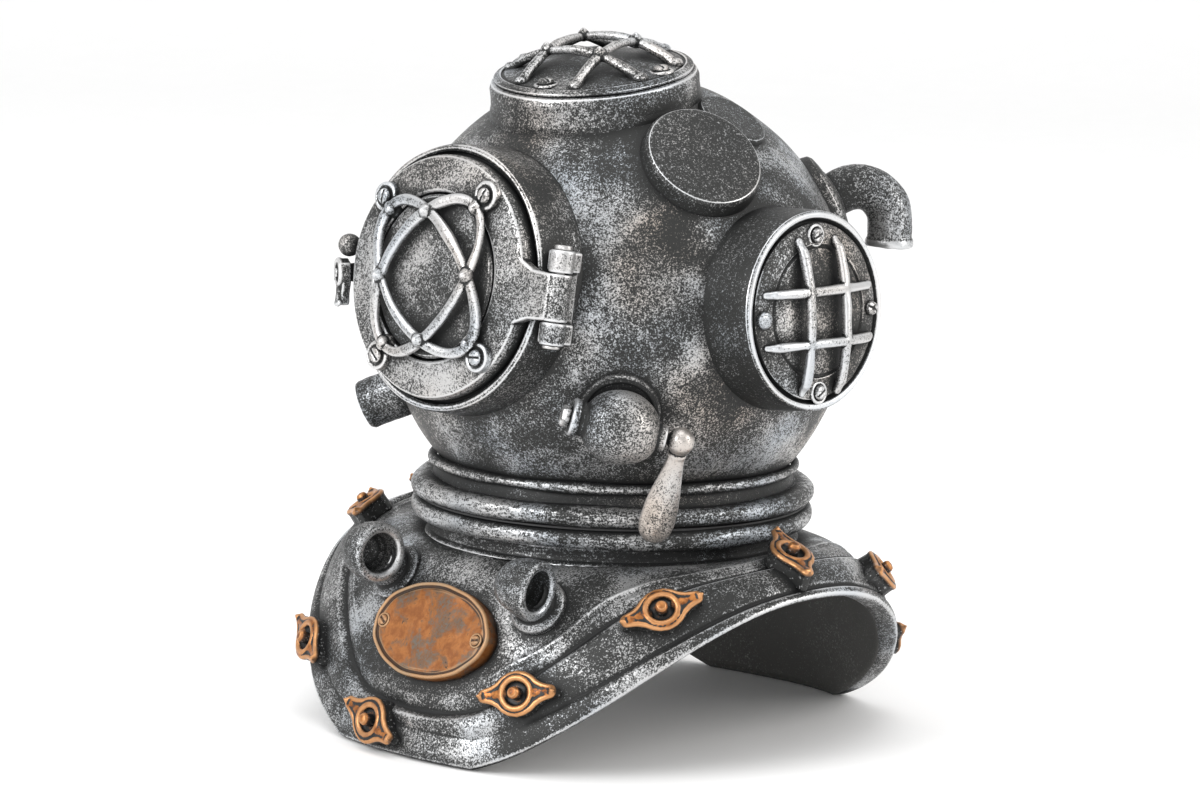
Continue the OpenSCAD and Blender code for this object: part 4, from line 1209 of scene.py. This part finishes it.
# ------------------------------------------------------------------ bosses
boss = turned_on_dome([(12.6, 46.0), (12.35, 48.2), (12.25, 49.3), (11.8, 50.0), (11.0, 50.25), (0, 50.4)], face(71.5, 44.3), 160, 0.45)
piece("side_boss_disc", boss, M_BOSS, nodes=("side_boss",), seed=121, cast=0.05, cast_size=8)
boss2 = turned_on_dome([(7.7, 46.0), (7.5, 48.0), (7.3, 48.6), (6.7, 48.9), (0, 49.0)], face(101, 57), 120, 0.3)
piece("small_boss_disc", boss2, M_BOSS, nodes=("small_boss",), seed=122, cast=0.05, cast_size=6)


# ------------------------------------------------------------- rear elbows
def rear_elbow(mouth=3.1):
    """Outer wall along the bend, round the mouth, and back up the bore."""
    rings = []

    def place(s_):
        # distance along the pipe's middle: straight to z 52, bend of radius 7 through 118 degrees, straight
        if s_ <= 10:
            return np.array([0, 0, 42 + s_]), np.array([0, 0, 1.0])
        bend = math.radians(118) * 7
        if s_ <= 10 + bend:
            a = (s_ - 10) / 7
            return np.array([0, -7 + 7 * math.cos(a), 52 + 7 * math.sin(a)]), np.array([0, -math.sin(a), math.cos(a)])
        a = math.radians(118)
        d = s_ - 10 - bend
        u = np.array([0, -math.sin(a), math.cos(a)])
        return np.array([0, -7 + 7 * math.cos(a), 52 + 7 * math.sin(a)]) + u * d, u

    total = 10 + math.radians(118) * 7 + 5.5
    out = [(s_, 4.6) for s_ in np.linspace(3.5, total - 2.4, 34)]
    out += [(total - 1.9, 4.7), (total - 1.5, 4.98), (total - 0.5, 5.05), (total - 0.15, 4.9), (total, 4.5), (total, 3.5), (total - 0.15, 3.2)]
    inn = [(total - 0.6, mouth), (total - 3, mouth), (total - 6.4, mouth), (total - 6.5, 2.0), (total - 12, 2.0), (6, 2.0)]
    e1 = np.array([1.0, 0, 0])
    for s_, r in out + inn:
        c, u = place(s_)
        rings.append(ring_at(c, e1, np.cross(u, e1), r, r, 56))
    v = np.array(rings).reshape(-1, 3)
    return outward_faces(v, grid_faces(len(rings), 56, True, True))


for tag, az in (("air", 142), ("cable", -142)):
    xf = face(az, 28)
    part = moved(rear_elbow(), xf)
    piece(f"{tag}_elbow_pipe", part, M_FIT, nodes=(f"{tag}_elbow",), seed=131 if tag == "air" else 137, cast=0.16, cast_size=3.5, rough=0.07)
    fl = turned_on_dome([(9.9, 46.0), (9.6, 47.7), (9.4, 48.7), (8.7, 49.3), (7.2, 49.8), (5.4, 50.2), (4.62, 50.6), (4.62, 46.0)], xf, 120, 0.3)
    piece(f"{tag}_elbow_base", fl, M_FRAME, nodes=(f"{tag}_elbow_flange",), seed=132, cast=0.1, cast_size=5)

# ------------------------------------------------------------- bubble stub
stub = lathe([(3.2, 43.3), (5.2, 43.3), (5.2, 46), (5.15, 50), (5.2, 53), (5.25, 56.6), (4.9, 57.25), (4.3, 57.4), (3.7, 57.05), (3.25, 56.2), (3.2, 54)], 96, 0.3, 0.6, face(-52, -24))
piece("bubble_stub_pipe", stub, M_FIT, nodes=("bubble_stub",), seed=135, cast=0.16, cast_size=5, rough=0.05)

# ---------------------------------------------------------------- spitcock
fl = turned_on_dome([(8.4, 44.0), (8.1, 46.5), (8.0, 48.4), (7.6, 49.1), (6.9, 49.3), (6.5, 49.1), (6.1, 49.1), (0, 49.2)], SPIT, 120, 0.35)
piece("spitcock_base", fl, M_FIT, nodes=("spitcock_flange",), seed=141, cast=0.1, cast_size=4)
parts = [ball((0, 0, 55.2), 7.35, (1.09, 1, 1), 56, 36), rod((0, 0, 49.3), (0, 0, 53.5), 5.4, 48, 0.4)]
xz = T(0, 0, 55.2) @ rot("Y", 90)
parts.append(moved(lathe([(0, -10.0), (3.6, -10.0), (3.85, -9.5), (3.8, -8.6), (3.4, -8.2), (3.5, -6), (0, -6)], 48, 0.3, 0.5), xz))
parts.append(moved(lathe([(0, 5.5), (3.4, 5.5), (2.6, 7.6), (2.5, 9.3), (0, 9.3)], 48, 0.3, 0.5), xz))
spit_v, spit_f = fuse(parts, 0.24, 3)
spit_v, spit_f = cut((spit_v, spit_f), [moved(lathe([(0, -1), (1.05, -1), (1.05, 14), (0, 14)], 28, 0.01, 20), xz)])
piece("spitcock_casting", moved((spit_v, spit_f), SPIT), M_FIT, nodes=("spitcock_body",), seed=142, cast=0.14, cast_size=4)
cap = prism([(2.15 * math.cos(math.radians(a)), 2.15 * math.sin(math.radians(a))) for a in range(0, 360, 60)], -11.9, -10.02, 1.0, 0.3, 0.25)
cv, cf = moved(cap, xz)
piece("spitcock_end_nut", moved((cv, cf), SPIT), M_BARS, nodes=("spitcock_cap",), seed=143, cast=0.07, cast_size=1.6)


def lever():
    c = np.array([12.3, 0, 0])
    parts = [ball(c, 2.85, (0.95, 1, 1), 32, 20), rod((0.3, 0, 0), (11, 0, 0), 0.98, 24, 0.1)]
    rings = []
    #            y,    half width (x), half depth (z)
    spec = [(-1.0, 1.5, 1.5), (-2.6, 1.75, 1.65), (-3.1, 1.95, 1.8), (-3.6, 1.75, 1.6), (-5.0, 1.85, 1.6), (-8, 2.35, 1.95), (-11.5, 3.0, 2.35), (-14.8, 3.45, 2.65), (-18.6, 3.6, 2.7), (-20.9, 3.2, 2.4), (-22.2, 2.2, 1.7), (-22.8, 0.9, 0.8)]
    ys = np.array([q[0] for q in spec])
    yy = np.linspace(ys[0], ys[-1], 60)
    for y in yy:
        a = float(np.interp(-y, -ys, [q[1] for q in spec]))
        b = float(np.interp(-y, -ys, [q[2] for q in spec]))
        ridge = float(sstep(4.5, 8, -y) * (1 - sstep(17.5, 20.5, -y)))
        k = 40
        ang = np.arange(k) * 2 * math.pi / k
        pw = 1.0 + 0.35 * ridge
        ca = np.sign(np.cos(ang)) * np.abs(np.cos(ang)) ** pw
        sa = np.sign(np.sin(ang)) * np.abs(np.sin(ang)) ** pw
        rings.append(np.stack([c[0] + a * ca, np.full(k, y), b * sa], 1))
    parts.append(rings_solid(rings))
    return fuse(parts, 0.22, 3)


piece("spitcock_lever_handle", moved(lever(), SPIT @ T(0, 0, 55.2)), M_LEVER, "spitcock_lever", ("spitcock_lever",), seed=144, cast=0.07, cast_size=4)


# -------------------------------------------------------------------- eyes
def eye(turn, h):
    """Short macaroni-like pipe: up from a round base, bent over to a thick round mouth."""
    d = np.array([0, 1.0, 0])
    out = [(0, 0, 0.2, 90, 4.35), (0, 0, 2.5, 90, 4.1), (0, 0, 4.2, 88, 4.2), (0, 0.1, 5.6, 75, 4.6), (0, 0.4, 6.8, 55, 5.15), (0, 1.1, 7.4, 30, 5.6), (0, 2.2, 7.6, 12, 5.9), (0, 3.6, 7.6, 2, 6.1), (0, 4.8, 7.5, 0, 6.15), (0, 5.5, 7.5, 0, 5.9), (0, 5.9, 7.5, 0, 5.35), (0, 5.85, 7.5, 0, 4.6)]
    inn = [(0, 5.4, 7.5, 0, 4.1), (0, 3.5, 7.5, 0, 4.0), (0, 1.0, 7.4, 4, 3.8), (0, -0.6, 7.2, 10, 3.0), (0, -1.2, 7.1, 12, 1.4)]
    rings = []
    e1 = np.array([1.0, 0, 0])
    for x, y, z, pitch, r in out + inn:
        z += (h - 7.5) * min(1, z / 5)
        p = math.radians(pitch)
        u = d * math.cos(p) + np.array([0, 0, 1.0]) * math.sin(p)
        rings.append(ring_at((x, y, z), e1, np.cross(u, e1), r, r, 48))
    pipe = rings_solid(rings)
    base = lathe([(0, -0.5), (6.0, -0.5), (5.9, 0.7), (5.4, 1.15), (4.7, 1.5), (0, 1.6)], 60, 0.3, 0.5)
    part = fuse([pipe, base], 0.22, 3)
    # mouth direction: local +Y is turned to where the casting's mouth looks
    return moved(part, rot("Z", turn + 180))


for tag, t_, w_, turn, h_ in (("eye_port", 26.5, 0.49, 62, 10.2), ("eye_starboard", -20.8, 0.43, 108, 9.8)):
    piece(f"{tag}_casting", moved(eye(turn, h_), on_plate(t_, w_)), M_EYE, nodes=(tag,), seed=151, cast=0.12, cast_size=4)


# ------------------------------------------------------------------ plaque
def plaque():
    n = 150
    a = np.arange(n) * 2 * math.pi / n
    wig = 1 + 0.010 * np.sin(3 * a + 1) + 0.006 * np.sin(7 * a + 2) + 0.004 * np.sin(13 * a)
    rings = []
    ex = 16.0
    for k, z in ((1.0, -1.8), (1.0, 0.6), (1.0, 1.0), (0.992, 1.3), (0.975, 1.42), (0.955, 1.3), (0.945, 0.98), (0.935, 0.80), (0.92, 0.80), (0.905, 0.98), (0.89, 1.05)):
        rings.append(np.stack([ex * k * np.cos(a) * wig, ex * 0.62 * (k if k == 1 else 1 - (1 - k) * 1.4) * np.sin(a) * wig, np.full(n, z)], 1))
    for k in np.linspace(0.85, 0.04, 20):
        rings.append(np.stack([ex * k * np.cos(a) * wig, ex * 0.62 * k * 0.97 * np.sin(a) * wig, np.full(n, 1.05 + 0.28 * (1 - k * k))], 1))
    v, f = rings_solid(rings)
    top = sstep(0.9, 1.05, v[:, 2]) * (np.hypot(v[:, 0] / ex, v[:, 1] / ex / 0.62) < 0.9)
    v[:, 2] += top * (0.10 * wob(v, 4.5, 161) + 0.04 * wob(v, 1.8, 162))
    return v, f


def bent_to_plate(part, t_, w_, lift):
    """Lays a flat part on the plate's curved skin round (t, w)."""
    v, f = part
    m = on_plate(t_, w_, lift)
    e, n = skin_frame(t_, w_)
    g = np.cross(n, e)
    # local slopes: degrees of t per mm along X, and w per mm along Y
    dt = 1.0 / np.linalg.norm(skin(t_ + 0.5, w_) - skin(t_ - 0.5, w_))
    dwv = skin(t_, w_ + 0.01) - skin(t_, w_ - 0.01)
    dw = 0.02 / np.linalg.norm(dwv)
    sgn = 1.0 if dwv @ g > 0 else -1.0
    tt = t_ + v[:, 0] * dt
    ww = np.clip(w_ + v[:, 1] * dw * sgn, 0, 1)
    _, nn = skin_frame(tt, ww)
    curved = skin(tt, ww) + nn * (v[:, 2] + lift)[:, None]
    flat = put(v, m)
    return outward_faces(flat * 0.45 + curved * 0.55, f)


piece("plaque_plate", moved(plaque(), on_plate(0.5, 0.6, 0.6)), M_PLAQUE, nodes=("plaque",), seed=161)
parts = []
for i, s_ in enumerate((-1, 1)):
    m = on_plate(0.5, 0.6, 1.75) @ T(s_ * 13.3, 0, 0)
    parts.append(moved(button(1.05, 0.62, 163 + i), m))
    parts.append(moved(tube([(1.35 * math.cos(q), 1.35 * math.sin(q), 0.0) for q in np.linspace(0, 2 * math.pi, 25)[:-1]], 0.26, (0, 0, 1), 8, 1, True), m))
piece("plaque_screw_heads", joined(*parts), M_PLAQUE, nodes=("plaque_screws",), seed=164, cast=0.03, cast_size=1.0)

# --------------------------------------------------- wing nuts and studs
NUT_AT = [(-5.6, 0.93, -18), (26.5, 0.84, -16), (56.3, 0.77, -3), (88.6, 0.66, 70), (118, 0.8, 12), (145, 0.9, 12), (177, 0.92, 12),
          (208, 0.88, 12), (238, 0.82, 12), (268, 0.7, 12), (296, 0.62, 12), (322.9, 0.93, 12)]


def wing_nut(seed):
    g = np.random.default_rng(seed)
    l, w_ = 8.6, 5.0
    half = [(-l, -0.75), (-0.86 * l, -1.0), (-0.68 * l, -1.45), (-0.5 * l, -2.35), (-0.36 * l, -3.5), (-0.2 * l, -4.25), (0, -4.6), (0.2 * l, -4.25), (0.36 * l, -3.5), (0.5 * l, -2.35), (0.68 * l, -1.45), (0.86 * l, -1.0), (l, -0.75)]
    outline = np.array(half + [(-x, -y) for x, y in half])
    outline = outline * np.array([1 + g.normal() * 0.015, 1 + g.normal() * 0.03])
    base = prism(outline, -1.4, 2.3, 0.97, 0.3, 0.5)
    ring_o = soften(outline * np.array([0.93, 0.88]), 0.8, True, 5)
    lipp = np.c_[ring_o, np.full(len(ring_o), 2.45) + 0.15 * np.abs(ring_o[:, 0]) / l]
    lip_t = tube(refine(lipp, 0.5, True), 0.62, (0, 0, 1), 12, 1, True)
    inner = [(3.25 * math.cos(q), 3.1 * math.sin(q), 2.75) for q in np.linspace(0, 2 * math.pi, 49)[:-1]]
    collar = tube(inner, 0.72, (0, 0, 1), 12, 1, True)
    wings = []
    for sx in (-1, 1):
        wings.append(tube([(sx * 3.4, 0, 2.1), (sx * 5.6, 0, 2.25), (sx * 7.9, 0, 2.7)], [2.0, 1.35, 0.95], (0, 0, 1), 16, 0.62))
        wings.append(tube([(sx * 7.6, -0.7, 2.7), (sx * 8.25, 0, 3.35), (sx * 7.6, 0.7, 2.7)], [0.5, 0.62, 0.5], (0, 0, 1), 10))
    v, f = fuse([base, lip_t, collar] + wings, 0.22, 3)
    v[:, 2] += 0.12 * wob(v, 5, seed)
    return v, f


def stud(seed):
    return lathe([(0, -1.3), (1.25, -1.3), (1.3, 3.6), (1.22, 5.2), (0.9, 5.75), (0, 5.95)], 36, 0.35, 0.4)


nuts, studs = [], []
for i, (t_, w_, spin) in enumerate(NUT_AT):
    nuts.append(moved(wing_nut(170 + i), on_plate(t_, w_, 0.95, spin)))
    studs.append(moved(stud(190 + i), on_plate(t_, w_, -0.1)))


def paint_weights(o, groups, zs):
    """Marks how far up each nut a point is, so that the copper is brushed on the tops only."""
    co = np.zeros(len(o.data.vertices) * 3)
    o.data.vertices.foreach_get("co", co)
    co = co.reshape(-1, 3) * 1000
    no = np.zeros(len(co) * 3)
    o.data.vertices.foreach_get("normal", no)
    no = no.reshape(-1, 3)
    best = np.full(len(co), 1e9)
    h = np.zeros(len(co))
    up = np.zeros(len(co))
    for m in groups:
        inv = np.linalg.inv(m)
        q = put(co, inv)
        d = np.hypot(q[:, 0], q[:, 1]) + np.abs(q[:, 2]) * 0.3
        near = d < best
        best[near] = d[near]
        h[near] = q[near, 2]
        up[near] = (no[near] @ m[:3, 2])
    val = sstep(zs[0], zs[1], h) * 0.55 + sstep(0.05, 0.55, up) * 0.55
    at = o.data.attributes.new("paint", "FLOAT", "POINT")
    at.data.foreach_set("value", np.ascontiguousarray(val, np.float32))


nut_obj = piece("wing_nut_set", joined(*nuts), M_COPPER, nodes=("wing_nuts",), seed=171)
paint_weights(nut_obj, [on_plate(t_, w_, 0.95, spin) for t_, w_, spin in NUT_AT], (1.3, 2.6))
stud_obj = piece("stud_set", joined(*studs), M_COPPER, nodes=("studs",), seed=172, cast=0.05, cast_size=1.5)
paint_weights(stud_obj, [on_plate(t_, w_, -0.1) for t_, w_, spin in NUT_AT], (2.5, 3.8))

# --------------------------------------------------- air system inside
a_az, a_el = 142, 28
u_ = np.array([math.sin(math.radians(a_az)) * math.cos(math.radians(a_el)), -math.cos(math.radians(a_az)) * math.cos(math.radians(a_el)), math.sin(math.radians(a_el))])
p0 = DC + u_ * 41.9
hose_pts = [p0, p0 - u_ * 4, p0 - u_ * 9 + [0, 0, -3], p0 - u_ * 12 + [0, 0, -10], (7, 19, 84), (3, 16, 70), (0, 12 + NB, 58)]
hose_path = catmull(hose_pts, 8)
piece("air_hose_tube", tube(hose_path, 1.9, (0.3, -1, 0.2), 28), M_HOSE, nodes=("air_hose",), seed=181)
st_lo, st_hi = mm_box("air_stone")
sc = (st_lo + st_hi) / 2
stone = lathe([(0, st_lo[2]), (6.6, st_lo[2]), (7, st_lo[2] + 0.5), (7, st_lo[2] + 11.4), (6.4, st_lo[2] + 12.3), (2.5, st_lo[2] + 12.6), (2.2, st_lo[2] + 14.4), (0, st_lo[2] + 14.4)], 90, 0.4, 0.5, T(sc[0], sc[1], 0))
piece("air_stone_body", stone, M_STONE, nodes=("air_stone",), seed=182, rough=0.05)
cr_lo, cr_hi = mm_box("air_stone_cradle")
cup = lathe([(0, cr_lo[2]), (8.1, cr_lo[2]), (8.4, cr_lo[2] + 0.4), (8.4, cr_lo[2] + 5.5), (8.0, cr_lo[2] + 5.9), (7.15, cr_lo[2] + 5.7), (7.05, cr_lo[2] + 1.4), (0, cr_lo[2] + 1.4)], 90, 0.25, 0.6, T(sc[0], sc[1], 0))
arm = box((-3, sc[1] + 7.6, cr_lo[2]), (3, cr_hi[1], cr_lo[2] + 3), 0.35)
piece("air_stone_cup", joined(cup, arm), M_PLASTIC, nodes=("air_stone_cradle",), seed=183)

# ------------------------------------------------------ stage and lighting
scene = bpy.context.scene


def floor_mesh():
    """Seamless pale sweep: a floor that curves up behind the object."""
    prof = [(-1.6, 0.0), (1.2, 0.0)]
    pts = []
    for y in np.linspace(-1.6, 1.3, 12):
        pts.append((y, 0.0))
    for a in np.linspace(0, 90, 14)[1:]:
        pts.append((1.3 + 0.6 * math.sin(math.radians(a)), 0.6 - 0.6 * math.cos(math.radians(a))))
    pts.append((1.9, 1.6))
    xs = np.linspace(-2.2, 2.2, 12)
    v = [(x, y, z - 0.0002) for y, z in pts for x in xs]
    f = grid_faces(len(pts), len(xs), False, False)
    me = bpy.data.meshes.new("studio_floor")
    me.from_pydata(v, [], f)
    me.shade_smooth()
    o = bpy.data.objects.new("studio_floor", me)
    scene.collection.objects.link(o)
    return o


CAM_A, CAM_E, CAM_R = math.radians(44.4), math.radians(9.14), math.radians(1.56)
back = Vector((math.sin(CAM_A) * math.cos(CAM_E), -math.cos(CAM_A) * math.cos(CAM_E), math.sin(CAM_E)))
right = Vector((math.cos(CAM_A), math.sin(CAM_A), 0))
up_v = back.cross(right)
rr = right * math.cos(CAM_R) + up_v * math.sin(CAM_R)
uu = up_v * math.cos(CAM_R) - right * math.sin(CAM_R)
centre = Vector(DC * 0.001)
cam_data = bpy.data.cameras.new("camera")
cam_data.sensor_width = 36.0
cam_data.sensor_fit = "HORIZONTAL"
cam_data.lens = 4858 / 1200 * 36
cam_data.clip_start = 0.05
cam_data.clip_end = 20
cam = bpy.data.objects.new("camera", cam_data)
scene.collection.objects.link(cam)
rotm = Matrix((rr, uu, back)).transposed().to_4x4()
cam.matrix_world = Matrix.Translation(centre + rr * -0.0037 + uu * -0.0195 + back * 1.0) @ rotm
scene.camera = cam

floor = floor_mesh()
fm = Mat("pale_paper")
grain_n = fm.noise(60, 3.0, 0.5)
floor.data.materials.append(fm.finish(fm.mix((0.93, 0.93, 0.93), (0.95, 0.95, 0.95), grain_n), 0.85, 0.0, fm.bump(grain_n, 0.0002, 0.1)))
floor.rotation_euler = (0, 0, CAM_A)

world = bpy.data.worlds.new("studio")
world.use_nodes = True
bg = world.node_tree.nodes["Background"]
bg.inputs["Color"].default_value = (1, 1, 1, 1)
bg.inputs["Strength"].default_value = 0.93
scene.world = world


def lamp(name, loc, target, size, power, colour=(1, 1, 1), size_y=None):
    d = bpy.data.lights.new(name, "AREA")
    d.energy = power
    d.color = colour
    d.shape = "RECTANGLE"
    d.size = size
    d.size_y = size_y or size
    o = bpy.data.objects.new(name, d)
    scene.collection.objects.link(o)
    o.location = loc
    o.rotation_euler = (Vector(target) - Vector(loc)).to_track_quat("-Z", "Y").to_euler()
    return o


tgt = centre


def from_cam(x, y, z):
    """A place given as right, up and toward the camera, in metres from the dome's centre."""
    return centre + right * x + Vector((0, 0, 1)) * y + Vector((back.x, back.y, 0)).normalized() * z


lamp("key_left", from_cam(-0.75, 0.45, 0.55), tgt, 0.5, 6, (1.0, 1.0, 1.0))
lamp("fill_right", from_cam(0.85, 0.35, 0.25), tgt, 0.35, 3.4, (1.0, 0.97, 0.93), 0.7)
lamp("top_soft", from_cam(0.0, 1.0, 0.15), tgt, 0.8, 3)
lamp("front_low", from_cam(-0.15, 0.12, 1.1), tgt, 0.5, 1.5)
scene.view_settings.view_transform = "Standard"
scene.view_settings.look = "None"
